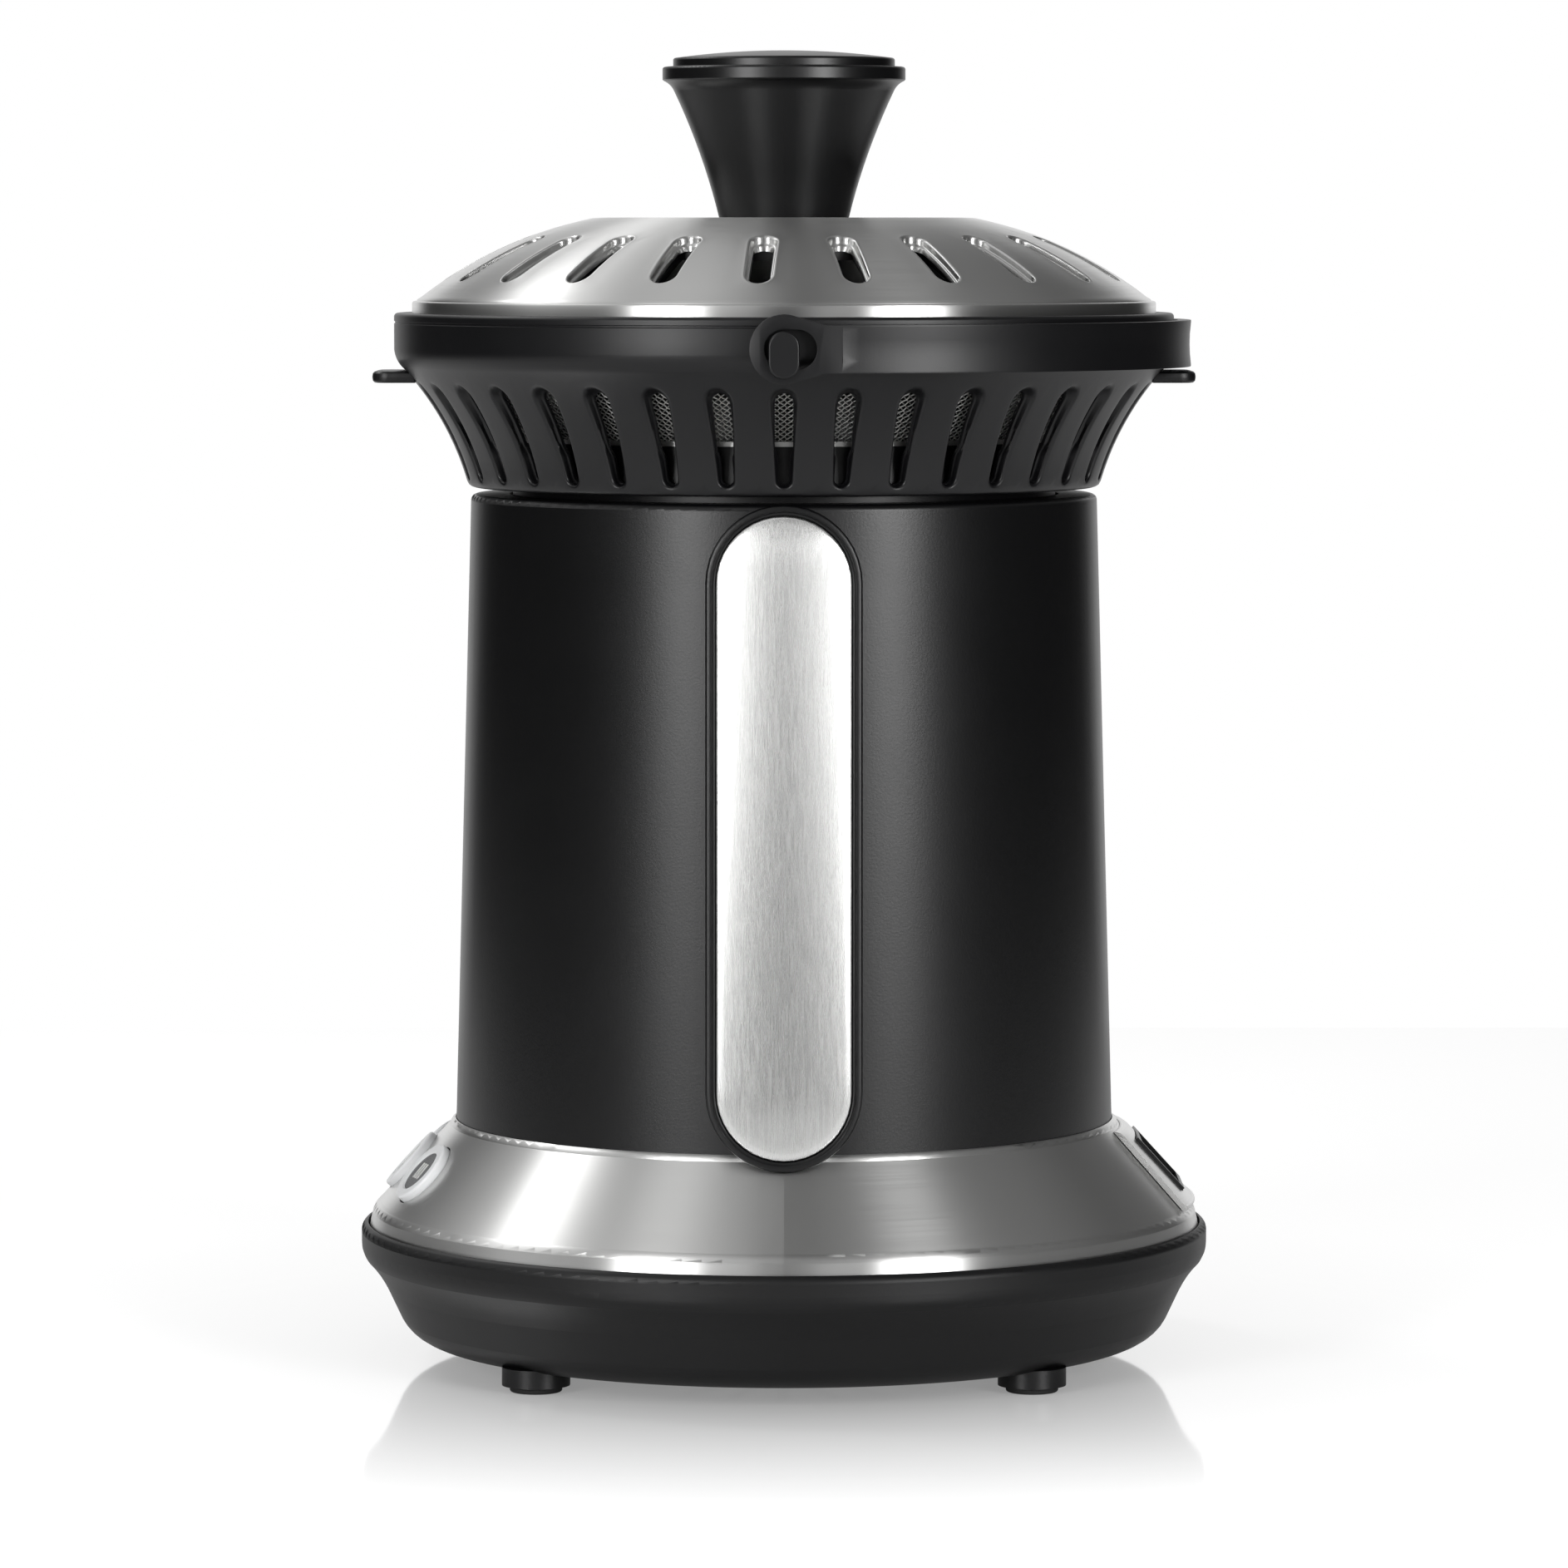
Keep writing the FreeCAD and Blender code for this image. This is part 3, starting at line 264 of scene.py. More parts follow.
def sheetMesh(name, groups, away=None, capped=False):
    # Each group is a list of lines in millimetres, closed or open, joined one to the next. A sheet
    # faces "away"; a capped one is closed at both ends.
    points, faces = [], []
    for lines, closed in groups:
        base = len(points)
        count = len(lines[0])
        for line in lines:
            points += [tuple(c * mm for c in p) for p in line]
        for row in range(len(lines) - 1):
            for i in range(count if closed else count - 1):
                a, b = base + row * count + i, base + row * count + (i + 1) % count
                faces.append((a, b, b + count, a + count))
        if capped:
            last = base + (len(lines) - 1) * count
            faces += [tuple(range(base, base + count)), tuple(range(last, last + count))]
    mesh = bpy.data.meshes.new(name)
    mesh.from_pydata(points, [], faces)
    work = bmesh.new()
    work.from_mesh(mesh)
    bmesh.ops.remove_doubles(work, verts=work.verts, dist=0.000002)
    bmesh.ops.dissolve_degenerate(work, edges=work.edges, dist=0.0000005)
    bmesh.ops.recalc_face_normals(work, faces=work.faces)
    work.to_mesh(mesh)
    work.free()
    if away and sum(f.area * f.normal.dot(Vector(away)) for f in mesh.polygons) < 0:
        mesh.flip_normals()
    return mesh


def bakeModifiers(piece):
    # The evaluated shape as a plain mesh, with no modifier left.
    graph = bpy.context.evaluated_depsgraph_get()
    mesh = bpy.data.meshes.new_from_object(piece.evaluated_get(graph))
    piece.modifiers.clear()
    piece.data = mesh
    return piece


def newPiece(name, mesh):
    piece = bpy.data.objects.new(name, mesh)
    scene.collection.objects.link(piece)
    return piece


def dressPiece(piece, material, body, stands=(), angle=35):
    mesh = piece.data
    mesh.materials.clear()
    mesh.materials.append(material)
    mesh.shade_smooth()
    mesh.set_sharp_from_angle(angle=math.radians(angle))
    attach(piece, body)
    if stands:
        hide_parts(*stands)
    return piece


def ringTree(name, material):
    # Geometry Nodes: repeats what comes in round the Z axis and joins the copies.
    tree = bpy.data.node_groups.new(name, "GeometryNodeTree")
    face = tree.interface
    face.new_socket("Geometry", in_out="INPUT", socket_type="NodeSocketGeometry")
    sockets = {
        "Count": face.new_socket("Count", in_out="INPUT", socket_type="NodeSocketInt"),
        "First Angle": face.new_socket("First Angle", in_out="INPUT", socket_type="NodeSocketFloat"),
        "Join Distance": face.new_socket("Join Distance", in_out="INPUT", socket_type="NodeSocketFloat"),
    }
    face.new_socket("Geometry", in_out="OUTPUT", socket_type="NodeSocketGeometry")
    given = addNode(tree, "NodeGroupInput").outputs
    step = addNode(tree, "ShaderNodeMath", {"operation": "DIVIDE"}, {0: math.tau, 1: given["Count"]})
    angle = addNode(tree, "ShaderNodeMath", {"operation": "MULTIPLY_ADD"}, {
        0: addNode(tree, "GeometryNodeInputIndex").outputs[0], 1: step.outputs[0], 2: given["First Angle"],
    })
    turn = addNode(tree, "ShaderNodeCombineXYZ", None, {"Z": angle.outputs[0]})
    turned = addNode(tree, "FunctionNodeEulerToRotation", None, {0: turn.outputs[0]})
    places = addNode(tree, "GeometryNodePoints", None, {"Count": given["Count"]})
    copies = addNode(tree, "GeometryNodeInstanceOnPoints", None, {
        "Points": places.outputs[0], "Instance": given["Geometry"], "Rotation": turned.outputs[0],
    })
    real = addNode(tree, "GeometryNodeRealizeInstances", None, {"Geometry": copies.outputs[0]})
    joined = addNode(tree, "GeometryNodeMergeByDistance", None, {
        "Geometry": real.outputs[0], "Distance": given["Join Distance"],
    })
    painted = addNode(tree, "GeometryNodeSetMaterial", None, {
        "Geometry": joined.outputs[0], "Material": material,
    })
    addNode(tree, "NodeGroupOutput", None, {"Geometry": painted.outputs[0]})
    return tree, sockets


def repeatRound(name, mesh, material, count, firstAngle=0.0, join=0.000005, wall=0.0):
    # One sector or bar becomes a whole ring, with a wall thickness inwards if one is given.
    tree, sockets = ringTree(name + "Ring", material)
    piece = newPiece(name, mesh)
    ring = piece.modifiers.new("ring", "NODES")
    ring.node_group = tree
    ring[sockets["Count"].identifier] = count
    ring[sockets["First Angle"].identifier] = math.radians(firstAngle)
    ring[sockets["Join Distance"].identifier] = join
    if wall:
        thick = piece.modifiers.new("wall", "SOLIDIFY")
        thick.thickness, thick.offset = wall, -1.0
    return bakeModifiers(piece)


def stadium(low, high, lowHalf, highHalf, ends, sides):
    # Points (across, along) on a rounded slot's outline, from the high end's right corner round to the start.
    # Its two ends are half circles of the given half widths, and its sides are straight.
    top = [(highHalf * math.cos(a), high - highHalf + highHalf * math.sin(a))
           for a in [math.pi * i / ends for i in range(ends + 1)]]
    foot = [(-lowHalf * math.cos(a), low + lowHalf - lowHalf * math.sin(a))
            for a in [math.pi * i / ends for i in range(ends + 1)]]
    left = [(a[0] + (b[0] - a[0]) * i / sides, a[1] + (b[1] - a[1]) * i / sides)
            for a, b in [(top[-1], foot[0])] for i in range(1, sides)]
    right = [(-x, z) for x, z in reversed(left)]
    return top + left + foot + right


def sectorFrame(low, high, half, ends, sides):
    # The sector's own outline, point for point beside a stadium's: across is an angle here.
    top = [(half * (1 - 2 * i / ends), high) for i in range(ends + 1)]
    foot = [(-half * (1 - 2 * i / ends), low) for i in range(ends + 1)]
    left = [(-half, high + (low - high) * i / sides) for i in range(1, sides)]
    right = [(half, z) for _, z in reversed(left)]
    return top + left + foot + right


# Lid: one pressed steel sheet, with slots whose edges are drawn down and end in a small flange

lid = {
    "slots": 22, "firstSlot": -4.2, "slotInner": 62.0, "slotOuter": 83.0, "slotHalf": 3.05,
    "sectorInner": 54.0, "sectorOuter": 88.6,
    "wall": 0.9,
    "lip": [(-0.62, 3.3), (-0.62, 2.15), (-0.5, 1.95), (-0.22, 1.9), (-0.06, 1.75), (0.0, 1.5), (0.0, 0.55),
            (0.08, 0.22), (0.26, 0.03), (0.5, -0.05), (0.85, -0.02), (1.4, 0.0)],
    "rim": [(89.7, 260.5), (89.85, 260.15), (90.5, 260.08), (90.85, 259.9), (91.0, 259.45), (91.0, 257.2)],
    "plateau": [50.0, 47.0, 45.6, 44.0, 30.0, 16.0, 2.05],
}
domeLine = profileLine((0, 280.4), (44.0, 280.4), (47.0, 280.25), ((73.6, 270.8), (89.9, 260.2)))


def domePoint(angle, radius, drop=0.0):
    return (radius * math.cos(angle), radius * math.sin(angle), readLine(domeLine, radius, 0, 1) - drop)


def lidSector():
    ends, sides = 12, 12
    half = math.pi / lid["slots"]
    edge = sectorFrame(lid["sectorInner"], lid["sectorOuter"], half, ends, sides)
    loops = []
    for grow, drop in lid["lip"]:
        outline = stadium(lid["slotInner"] - grow, lid["slotOuter"] + grow,
                          lid["slotHalf"] + grow, lid["slotHalf"] + grow, ends, sides)
        outline = [(math.atan2(x, r), math.hypot(x, r)) for x, r in outline]
        loops.append([domePoint(a, r, drop) for a, r in outline])
    for share in (0.35, 0.7, 1.0):
        loops.append([domePoint(a + (b[0] - a) * share, r + (b[1] - r) * share)
                      for (a, r), b in zip(outline, edge)])
    turns = [half * (1 - 2 * i / ends) for i in range(ends + 1)]
    outer = [[domePoint(a, lid["sectorOuter"]) for a in turns]]
    outer += [[(r * math.cos(a), r * math.sin(a), z) for a in turns] for r, z in lid["rim"]]
    inner = [[domePoint(a, r) for a in turns] for r in [lid["sectorInner"]] + lid["plateau"]]
    return sheetMesh("lidSector", [(loops, True), (outer, False), (inner, False)], (0, 0, 1))


dome = repeatRound("lidPressing", lidSector(), skirtSteel, lid["slots"], lid["firstSlot"],
                   wall=lid["wall"] * mm)
dressPiece(dome, skirtSteel, "lid", ["lid_dome"], 40)
print("lid pressing:", len(dome.data.polygons), "faces")


# Collector: moulded shell with soft-edged slots that narrow towards the foot

collector = {
    "slots": 36, "sectorLow": 215.35, "sectorHigh": 243.4,
    "outerLow": 217.1, "outerHigh": 240.2, "outerLowHalf": 1.75, "outerHighHalf": 2.95,
    "innerLow": 217.6, "innerHigh": 239.4, "innerLowHalf": 1.45, "innerHighHalf": 2.25,
    "neckLow": 224.2, "neckHigh": 226.2,
    "edge": [(1.0, 0.0), (0.6, 0.05), (0.25, 0.28), (0.0, 0.75)],     # grow of the outer outline, depth
    "throat": [(0.45, 1.8), (0.2, 2.3), (0.06, 2.42), (0.0, 2.6), (0.0, 3.4)],   # grow of the opening, depth
    "wall": 1.8,
}
flankLine = profileLine((76.1, 214.8), ((76.9, 215.1), (77.6, 216.0)), ((82.2, 227.8), (92.9, 243.5)),
                        ((94.7, 245.8), (95.4, 248.5)))
footLine = [(76.6, 214.95), (76.1, 214.8), (74.0, 214.8), (66.0, 214.8), (55.6, 214.8)]
shoulderLine = profileLine((92.9, 243.5), ((94.7, 245.8), (95.4, 248.5)), (95.4, 251.5), (95.4, 254.6),
                           (95.15, 254.8), (95.15, 255.1), (95.4, 255.3), (95.4, 256.2),
                           ((95.15, 256.9), (94.5, 257.2)), (91.5, 257.2), (87.0, 257.2))


def flankPoint(angle, z, depth=0.0):
    r = readLine(flankLine, z, 1, 0) - depth
    return (r * math.cos(angle), r * math.sin(angle), z)


def turnOf(x, z):
    return math.asin(x / readLine(flankLine, z, 1, 0))


def throatOutline(grow, ends, sides):
    # The opening is wide in its upper part and narrow below its neck.
    low, high = collector["neckLow"], collector["neckHigh"]
    wide, slim = collector["innerHighHalf"] + grow, collector["innerLowHalf"] + grow
    outline = stadium(collector["innerLow"] - grow, collector["innerHigh"] + grow, slim, wide, ends, sides)
    shaped = []
    for i, (x, z) in enumerate(outline):
        straight = ends < i < ends + sides or i > 2 * ends + sides
        if straight:
            share = min(1.0, max(0.0, (z - low) / (high - low)))
            x = math.copysign(slim + (wide - slim) * share, x)
        shaped.append((x, z))
    return shaped


def collectorSector():
    ends, sides = 10, 18
    half = math.pi / collector["slots"]
    edge = sectorFrame(collector["sectorLow"], collector["sectorHigh"], half, ends, sides)
    loops = []
    for grow, depth in reversed(collector["throat"]):
        loops.append([flankPoint(turnOf(x, z), z, depth) for x, z in throatOutline(grow, ends, sides)])
    for grow, depth in reversed(collector["edge"]):
        outline = stadium(collector["outerLow"] - grow, collector["outerHigh"] + grow,
                          collector["outerLowHalf"] + grow, collector["outerHighHalf"] + grow, ends, sides)
        outline = [(turnOf(x, z), z) for x, z in outline]
        loops.append([flankPoint(a, z, depth) for a, z in outline])
    for share in (0.5, 1.0):
        loops.append([flankPoint(a + (b[0] - a) * share, z + (b[1] - z) * share)
                      for (a, z), b in zip(outline, edge)])
    turns = [half * (1 - 2 * i / ends) for i in range(ends + 1)]
    foot = [[flankPoint(a, collector["sectorLow"]) for a in turns]]
    foot += [[(r * math.cos(a), r * math.sin(a), z) for a in turns] for r, z in footLine]
    top = [[flankPoint(a, collector["sectorHigh"]) for a in turns]]
    top += [[(r * math.cos(a), r * math.sin(a), z) for a in turns] for r, z in shoulderLine[1:]]
    return sheetMesh("collectorSector", [(loops, True), (foot, False), (top, False)], (1, 0, 0))


shell = repeatRound("collectorMoulding", collectorSector(), blackNylon, collector["slots"],
                    wall=collector["wall"] * mm)
dressPiece(shell, blackNylon, "chamber", ["collector_shell"], 40)
print("collector moulding:", len(shell.data.polygons), "faces")

tab = {"inner": 90.0, "reach": 100.4, "half": 13.0, "corner": 4.0, "low": 240.2, "high": 243.1,
       "edge": [(1.25, 0.0), (0.55, 0.12), (0.12, 0.55), (0.0, 1.25)]}      # inset, drop from the face


def tabOutline(inset):
    # Plan view, on the +X side: square at its root, with two rounded corners.
    reach, side, r = tab["reach"] - inset, tab["half"] - inset, tab["corner"] - inset
    corners = [(reach - r + r * math.cos(a), side - r + r * math.sin(a))
               for a in [math.radians(i * 15) for i in range(7)]]
    return ([(tab["inner"], -side)] + [(x, -y) for x, y in reversed(corners)]
            + corners + [(tab["inner"], side)])


def tabMesh(angle):
    levels = [(inset, tab["high"] - drop) for inset, drop in tab["edge"]]
    levels += [(inset, tab["low"] + drop) for inset, drop in reversed(tab["edge"])]
    turn = Matrix.Rotation(math.radians(angle), 3, "Z")
    loops = [[turn @ Vector((x, y, z)) for x, y in tabOutline(inset)] for inset, z in levels]
    return sheetMesh("tab", [(loops, True)], capped=True)


for name, angle in (("thumbTabRear", 90), ("thumbTabFront", 270)):
    dressPiece(newPiece(name, tabMesh(angle)), blackNylon, "chamber")


# Chaff screen: a plain weave of two families of wires that cross at right angles on a cone

screen = {
    "footRadius": 73.3, "foot": 227.7, "topRadius": 87.6, "top": 245.0,
    "gap": 1.2,               # drawn coarser than the 0.8 mm of such a screen, so that it shows
    "wire": 0.19,             # radius
    "bend": 0.8,              # share of that radius by which a wire steps out or in at a crossing
}


def screenWire(side):
    # One wire, from the foot to the top of the cone. It steps over one crossing and under the next.
    run = math.hypot(screen["topRadius"] - screen["footRadius"], screen["top"] - screen["foot"])
    slope = (screen["topRadius"] - screen["footRadius"]) / run
    rise = (screen["top"] - screen["foot"]) / run
    pitch = math.tau / screen["count"]
    points, angle, way, k = [], 0.0, 0.0, 0
    while way < run:
        radius = screen["footRadius"] + slope * way
        points.append((radius, angle, screen["foot"] + rise * way, 1 if (k % 2 == 0) == (side > 0) else -1))
        way += pitch * radius / 2
        angle += side * pitch / 2
        k += 1
    loops = []
    for radius, angle, z, lift in points:
        out = Vector((math.cos(angle) * rise, math.sin(angle) * rise, -slope))
        along = Vector((-math.sin(angle), math.cos(angle), 0)) * side
        up = Vector((math.cos(angle) * slope, math.sin(angle) * slope, rise))
        across = (along + up).normalized().cross(out)
        bend = out * lift * screen["wire"] * screen["bend"]
        middle = Vector((radius * math.cos(angle), radius * math.sin(angle), z)) + bend
        loops.append([middle + (out * math.cos(t) + across * math.sin(t)) * screen["wire"]
                      for t in (0.0, math.tau / 3, -math.tau / 3)])
    return sheetMesh("wire", [(loops, True)], capped=True)


screen["count"] = int(math.tau * (screen["footRadius"] + screen["topRadius"]) / 2
                      / (screen["gap"] * math.sqrt(2)))
for name, side in (("screenWiresRight", 1), ("screenWiresLeft", -1)):
    wires = repeatRound(name, screenWire(side), wireSteel, screen["count"], join=0.0)
    dressPiece(wires, wireSteel, "chamber", ["mesh_screen"], 180)    # shaded as round wire
    print(name + ":", len(wires.data.polygons), "faces")


# Side strips: a moulded frame with two steps, and a brushed inlay bedded in it

strip = {
    "low": 55.9, "high": 212.95, "half": 18.55, "blend": 2.5,
    "face": [(54.9, 85.33), (71.9, 85.07), (203.2, 79.56), (214.0, 77.67)],     # height, radius of the face
    "frame": [(0.0, 5.4), (0.0, 0.6), (0.1, 0.22), (0.35, 0.03), (0.6, 0.0), (1.2, 0.0), (1.45, 0.06),
              (1.6, 0.3), (1.72, 0.5), (2.1, 0.56), (2.28, 0.7), (2.36, 1.1), (2.36, 5.4), (0.0, 5.4)],
    "inlay": [(18.55, 1.9), (2.52, 1.9), (2.52, 0.95), (2.6, 0.68), (2.8, 0.52), (3.2, 0.45), (4.5, 0.42),
              (6.5, 0.42), (9.0, 0.42), (12.0, 0.42), (15.0, 0.42), (17.0, 0.42), (18.55, 0.42)],
}


def stripFace(z):
    # The face's radius at a height, with its two bends rounded.
    line = strip["face"]

    def straight(h):
        for (za, ra), (zb, rb) in zip(line, line[1:]):
            if h <= zb or (zb, rb) == line[-1]:
                return ra + (rb - ra) * (h - za) / (zb - za)

    steps = [straight(z + strip["blend"] * s) for s in (-1, -0.5, 0, 0.5, 1)]
    return sum(steps) / len(steps)


def stripMesh(levels, side):
    loops = []
    for inset, depth in levels:
        half = strip["half"] - inset
        outline = stadium(strip["low"] + inset, strip["high"] - inset, half, half, 20, 50)
        loops.append([(side * math.sqrt((stripFace(z) - depth) ** 2 - y * y), y, z) for y, z in outline])
    return sheetMesh("strip", [(loops, True)])


for word, side in (("Right", 1), ("Left", -1)):
    frameRing = newPiece("stripFrame" + word, stripMesh(strip["frame"], side))
    dressPiece(frameRing, texturedAbs, "root", ["strip_frame_" + word.lower()], 50)
    inlay = newPiece("stripInlay" + word, stripMesh(strip["inlay"], side))
    dressPiece(inlay, stripSteel, "root", ["strip_inlay_" + word.lower()], 50)


# Softened copies of rigid pieces: the same shapes with their moulded edge radii

def softenedCopy(name, node, width, material, body):
    mesh = nodes[node].data.copy()
    work = bmesh.new()
    work.from_mesh(mesh)
    bmesh.ops.remove_doubles(work, verts=work.verts, dist=0.000002)
    bmesh.ops.dissolve_limit(work, angle_limit=math.radians(0.5), verts=work.verts, edges=work.edges)
    work.to_mesh(mesh)
    work.free()
    piece = newPiece(name, mesh)
    bevel = piece.modifiers.new("edges", "BEVEL")
    bevel.width, bevel.segments, bevel.limit_method = width * mm, 3, "ANGLE"
    bevel.angle_limit = math.radians(40)
    dressPiece(bakeModifiers(piece), material, body, [node], 35)


softenedCopy("bailStrap", "bail_handle", 0.45, blackNylon, "bail")

# Plain level marks on the buttons: one, two and three short raised bars
button = {
    "tilt": 47.62, "radius": 91.42, "height": 48.0, "face": 1.45,
    "bar": (0.55, 2.3), "gap": 1.7, "rise": 0.12,
}
for number, angle in ((1, -107), (2, -90), (3, -73)):
    place = (Matrix.Rotation(math.radians(angle), 4, "Z")
             @ Matrix.Translation(Vector((button["radius"], 0, button["height"])))
             @ Matrix.Rotation(math.radians(button["tilt"]), 4, "Y"))
    work = bmesh.new()
    for i in range(number):
        across = (i - (number - 1) / 2) * button["gap"]
        size = Matrix.Diagonal((2 * button["bar"][1], 2 * button["bar"][0] * 0.9, button["rise"] * 2, 1))
        bmesh.ops.create_cube(work, size=1, matrix=place @ Matrix.Translation(
            Vector((0, across, button["face"]))) @ size)
    bmesh.ops.bevel(work, geom=work.edges[:], offset=0.1, segments=2, affect="EDGES", profile=0.5)
    bmesh.ops.scale(work, vec=(mm, mm, mm), verts=work.verts)
    mesh = bpy.data.meshes.new("marks")
    work.to_mesh(mesh)
    work.free()
    dressPiece(newPiece("buttonMarks%d" % number, mesh), wireSteel, "button_%d" % number)


# Studio: floor, world, lamps and camera

studio = {
    "floorHalf": 0.75,        # a board this size: its far edge shows only in reflections
    "floorColour": "#E2E2E2",
    "floorGlow": 0.55,        # the board's own white, for rays that see it
    "glossShare": 0.4,        # how much of that glow reflections and glass meet
    "glossNear": 0.09,        # the board mirrors the pan from here ...
    "glossFar": 0.26,         # ... and fades to plain white by here
    "mirror": 0.55,
    "ambient": 0.4,
    "sideCards": 0.025,       # black cards stand round the object: reflections meet them
    # Overhead cards fan out round the view: their angle in degrees, left to right, and brightness
    "topCards": [(-80, 0.2), (-60, 0.35), (-48, 0.7), (-41, 1.5), (-34, 1.1), (-27, 0.6),
                 (-20, 0.55), (-12, 0.7), (-5, 0.45), (2, 0.1), (9, 0.24), (22, 0.24),
                 (40, 0.22), (55, 0.13), (72, 0.22)],
    "cardScale": 2.0,         # the brightest that the ramp of cards can hold
    "lampAim": 0.16,          # every lamp points at this height on the axis
}

floorMesh = bpy.data.meshes.new("floor")
half = studio["floorHalf"]
corners = [(-half, -half, 0), (half, -half, 0), (half, half, 0), (-half, half, 0)]
floorMesh.from_pydata(corners, [], [(0, 1, 2, 3)])
floor = newPiece("floor", floorMesh)

# White lacquered board: diffuse white that keeps the shadow, and a mirror that fades away from the pan.
floorMaterial = bpy.data.materials.new("whiteLacquer")
floorMaterial.use_nodes = True
tree = floorMaterial.node_tree
tree.nodes.clear()
place = addNode(tree, "ShaderNodeTexCoord").outputs["Object"]
reach = addNode(tree, "ShaderNodeVectorMath", {"operation": "LENGTH"}, {0: place}).outputs["Value"]
near = addNode(tree, "ShaderNodeMapRange", None, {
    "Value": reach, "From Min": studio["glossNear"], "From Max": studio["glossFar"],
    "To Min": studio["mirror"], "To Max": 0.0,
}).outputs[0]
diffuse = addNode(tree, "ShaderNodeBsdfDiffuse", None, {"Color": toLinear(studio["floorColour"])})
gloss = addNode(tree, "ShaderNodeBsdfGlossy", None, {"Color": toLinear("#F4F4F4"), "Roughness": 0.06})
rays = addNode(tree, "ShaderNodeLightPath").outputs
seen = addNode(tree, "ShaderNodeMath", {"operation": "MAXIMUM"}, {
    0: rays["Is Glossy Ray"], 1: rays["Is Transmission Ray"],
})
seen = addNode(tree, "ShaderNodeMath", {"operation": "MULTIPLY"}, {0: seen.outputs[0], 1: studio["glossShare"]})
seen = addNode(tree, "ShaderNodeMath", {"operation": "MAXIMUM"}, {0: rays["Is Camera Ray"], 1: seen.outputs[0]})
lift = addNode(tree, "ShaderNodeMath", {"operation": "MULTIPLY"}, {0: seen.outputs[0], 1: studio["floorGlow"]})
glow = addNode(tree, "ShaderNodeEmission", None, {"Color": (1, 1, 1, 1), "Strength": lift.outputs[0]})
white = addNode(tree, "ShaderNodeAddShader", None, {0: diffuse.outputs[0], 1: glow.outputs[0]})
mixed = addNode(tree, "ShaderNodeMixShader", None, {0: near, 1: white.outputs[0], 2: gloss.outputs[0]})
addNode(tree, "ShaderNodeOutputMaterial", None, {"Surface": mixed.outputs[0]})
floorMesh.materials.append(floorMaterial)

# White studio: the camera sees white, and so do reflections and glass behind the object (-X). To its
# sides and above it reflections meet grey and black cards, which the camera and the plain light pass by.
world = bpy.data.worlds.new("whiteStudio")
scene.world = world
world.use_nodes = True
tree = world.node_tree
tree.nodes.clear()
place = addNode(tree, "ShaderNodeTexCoord").outputs["Generated"]
way = addNode(tree, "ShaderNodeSeparateXYZ", None, {"Vector": place})
up = addNode(tree, "ShaderNodeMapRange", {"interpolation_type": "SMOOTHSTEP"}, {
    "Value": way.outputs["Z"], "From Min": 0.12, "From Max": 0.5,
})
ahead = addNode(tree, "ShaderNodeMath", {"operation": "ADD"}, {0: way.outputs["X"], 1: 1.0})
turn = addNode(tree, "ShaderNodeMath", {"operation": "ARCTAN2"}, {0: way.outputs["Y"], 1: ahead.outputs[0]})
share = addNode(tree, "ShaderNodeMapRange", None, {
    "Value": turn.outputs[0], "From Min": -math.pi / 2, "From Max": math.pi / 2,
})
ramp = addNode(tree, "ShaderNodeValToRGB", None, {"Fac": share.outputs[0]})
stops = ramp.color_ramp.elements
while len(stops) > 1:
    stops.remove(stops[-1])
for i, (angle, brightness) in enumerate(studio["topCards"]):
    stop = stops[0] if i == 0 else stops.new(0.5 + angle / 180)
    stop.position = 0.5 + angle / 180
    stop.color = [brightness / studio["cardScale"]] * 3 + [1.0]
cards = addNode(tree, "ShaderNodeMath", {"operation": "MULTIPLY"}, {0: ramp.outputs[0], 1: studio["cardScale"]})
behind = addNode(tree, "ShaderNodeMapRange", {"interpolation_type": "SMOOTHSTEP"}, {
    "Value": way.outputs["X"], "From Min": -0.82, "From Max": -0.95,
})
rays = addNode(tree, "ShaderNodeLightPath").outputs
seen = addNode(tree, "ShaderNodeMath", {"operation": "MAXIMUM"}, {0: rays["Is Camera Ray"], 1: rays["Is Glossy Ray"]})
seen = addNode(tree, "ShaderNodeMath", {"operation": "MAXIMUM"}, {0: seen.outputs[0], 1: rays["Is Transmission Ray"]})
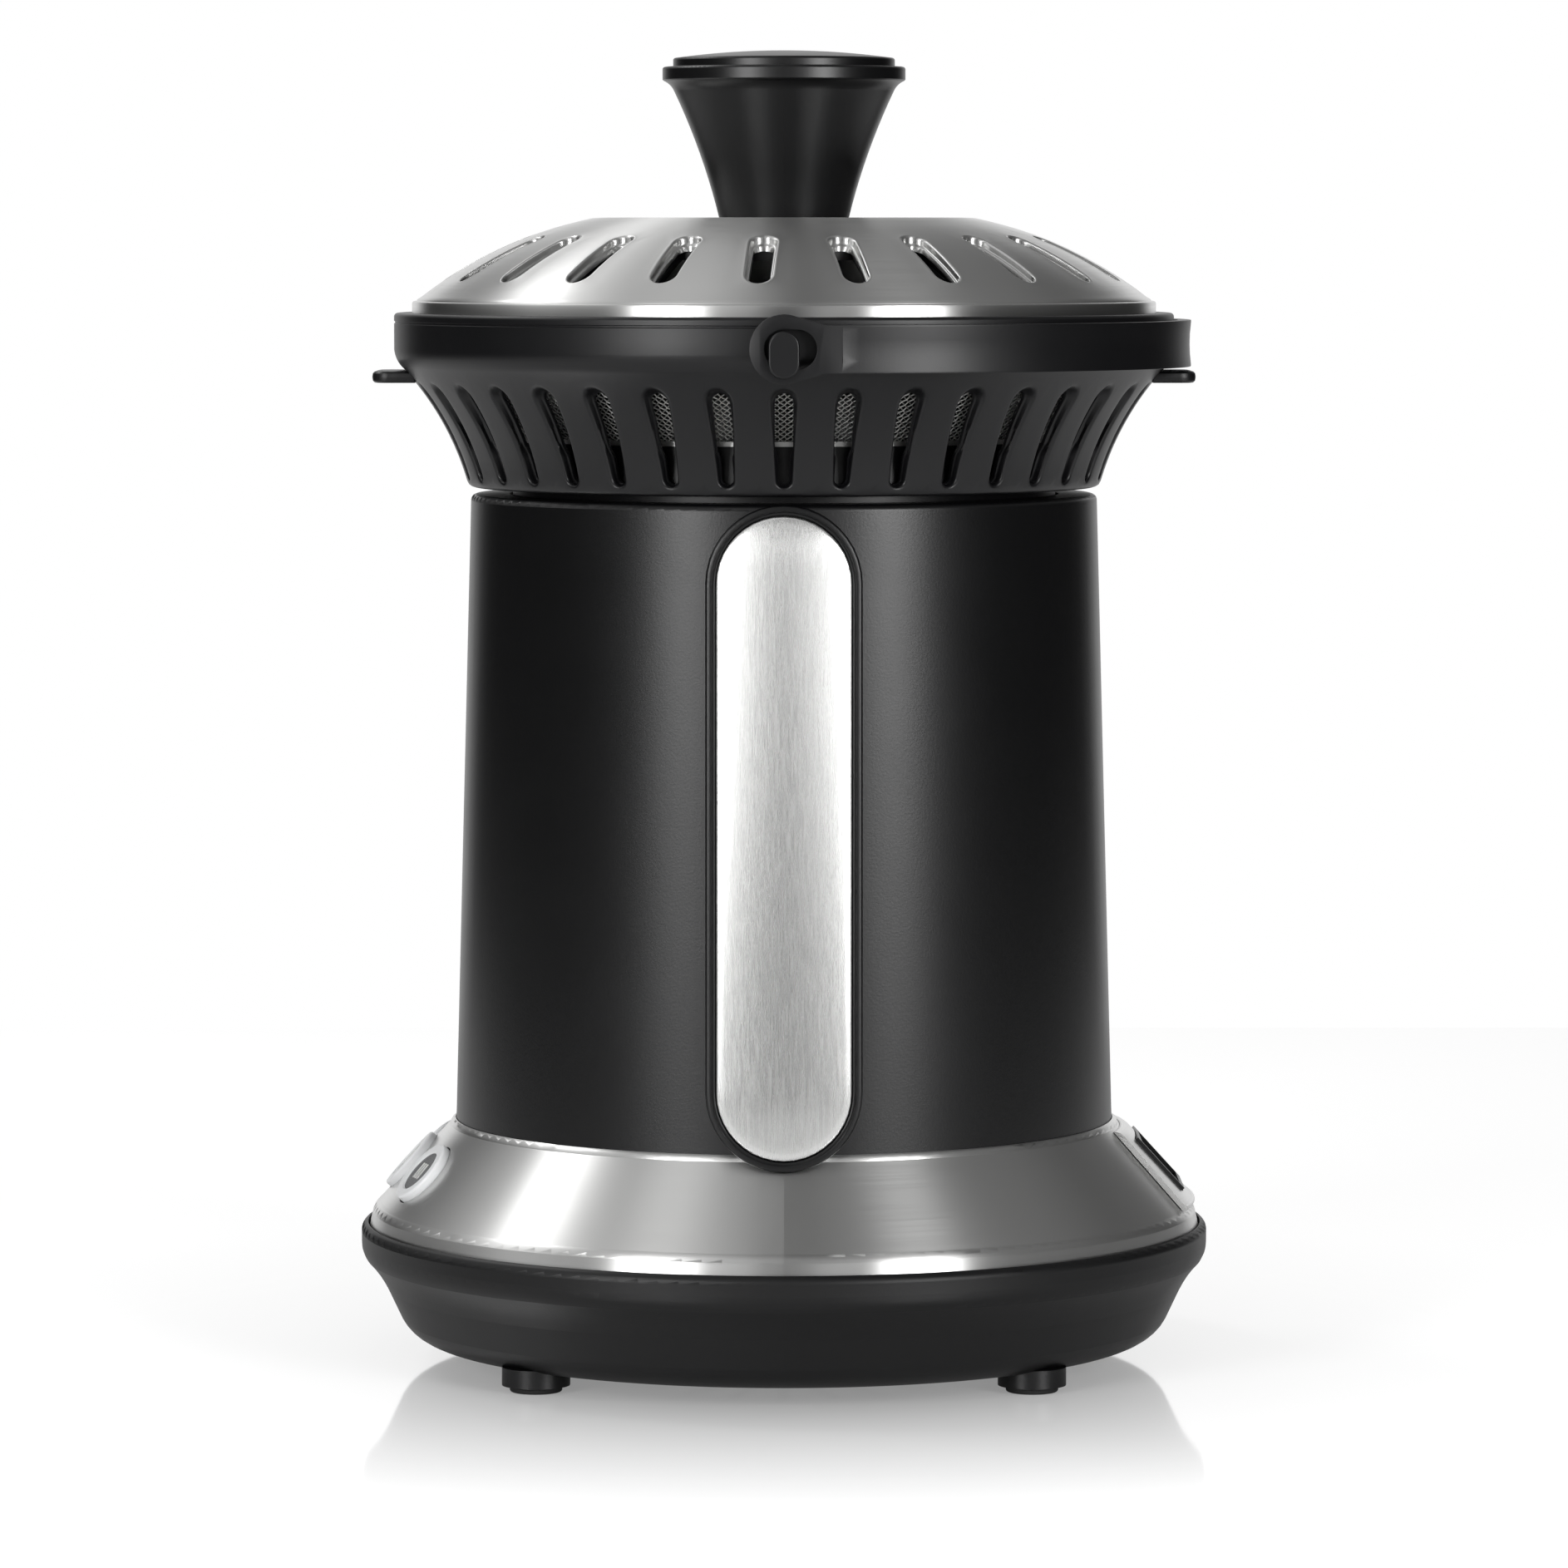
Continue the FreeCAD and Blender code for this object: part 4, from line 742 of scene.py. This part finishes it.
level = addNode(tree, "ShaderNodeMix", None, {0: up.outputs[0], 2: studio["sideCards"], 3: cards.outputs[0]})
level = addNode(tree, "ShaderNodeMix", None, {0: behind.outputs[0], 2: level.outputs[0], 3: 1.0})
level = addNode(tree, "ShaderNodeMix", None, {0: rays["Is Camera Ray"], 2: level.outputs[0], 3: 1.0})
level = addNode(tree, "ShaderNodeMix", None, {0: seen.outputs[0], 2: studio["ambient"], 3: level.outputs[0]})
sky = addNode(tree, "ShaderNodeBackground", None, {"Color": (1, 1, 1, 1), "Strength": level.outputs[0]})
addNode(tree, "ShaderNodeOutputWorld", None, {"Surface": sky.outputs[0]})

# Softboxes: place, width and height in metres, and brightness where 1 is white
lamps = {
    "keySoftbox": ((-0.5, -0.86, 1.25), 0.34, 0.3, 8.0),
    "frontTopSoftbox": ((1.3, 0.0, 1.3), 1.2, 0.3, 0.7),
    "leftPanel": ((1.14, -0.79, 0.4), 0.45, 0.6, 11.5),
    "rightPanel": ((1.1, 0.84, 0.4), 0.45, 0.6, 13.0),
    "nearLeftPanel": ((2.15, -0.5, 0.44), 0.5, 0.66, 0.9),
    "nearRightPanel": ((2.15, 0.5, 0.44), 0.5, 0.66, 1.0),
}
for name, (spot, width, height, brightness) in lamps.items():
    light = bpy.data.lights.new(name, "AREA")
    light.shape = "RECTANGLE"
    light.size, light.size_y = width, height
    light.energy = brightness * math.pi * width * height
    lamp = newPiece(name, light)
    lamp.location = spot
    lamp.rotation_mode = "QUATERNION"
    aim = Vector((0, 0, studio["lampAim"])) - Vector(spot)
    lamp.rotation_quaternion = aim.to_track_quat("-Z", "Y")

camera = bpy.data.objects.new("camera", bpy.data.cameras.new("camera"))
camera.data.sensor_width = 36.0
camera.data.lens = 171.2
camera.location = (1.83, 0.0, 0.279)
camera.rotation_euler = (math.radians(90 - 4.3), 0, math.radians(90))
camera.data.clip_start, camera.data.clip_end = 0.05, 50
scene.collection.objects.link(camera)
scene.camera = camera

print("scene ready")
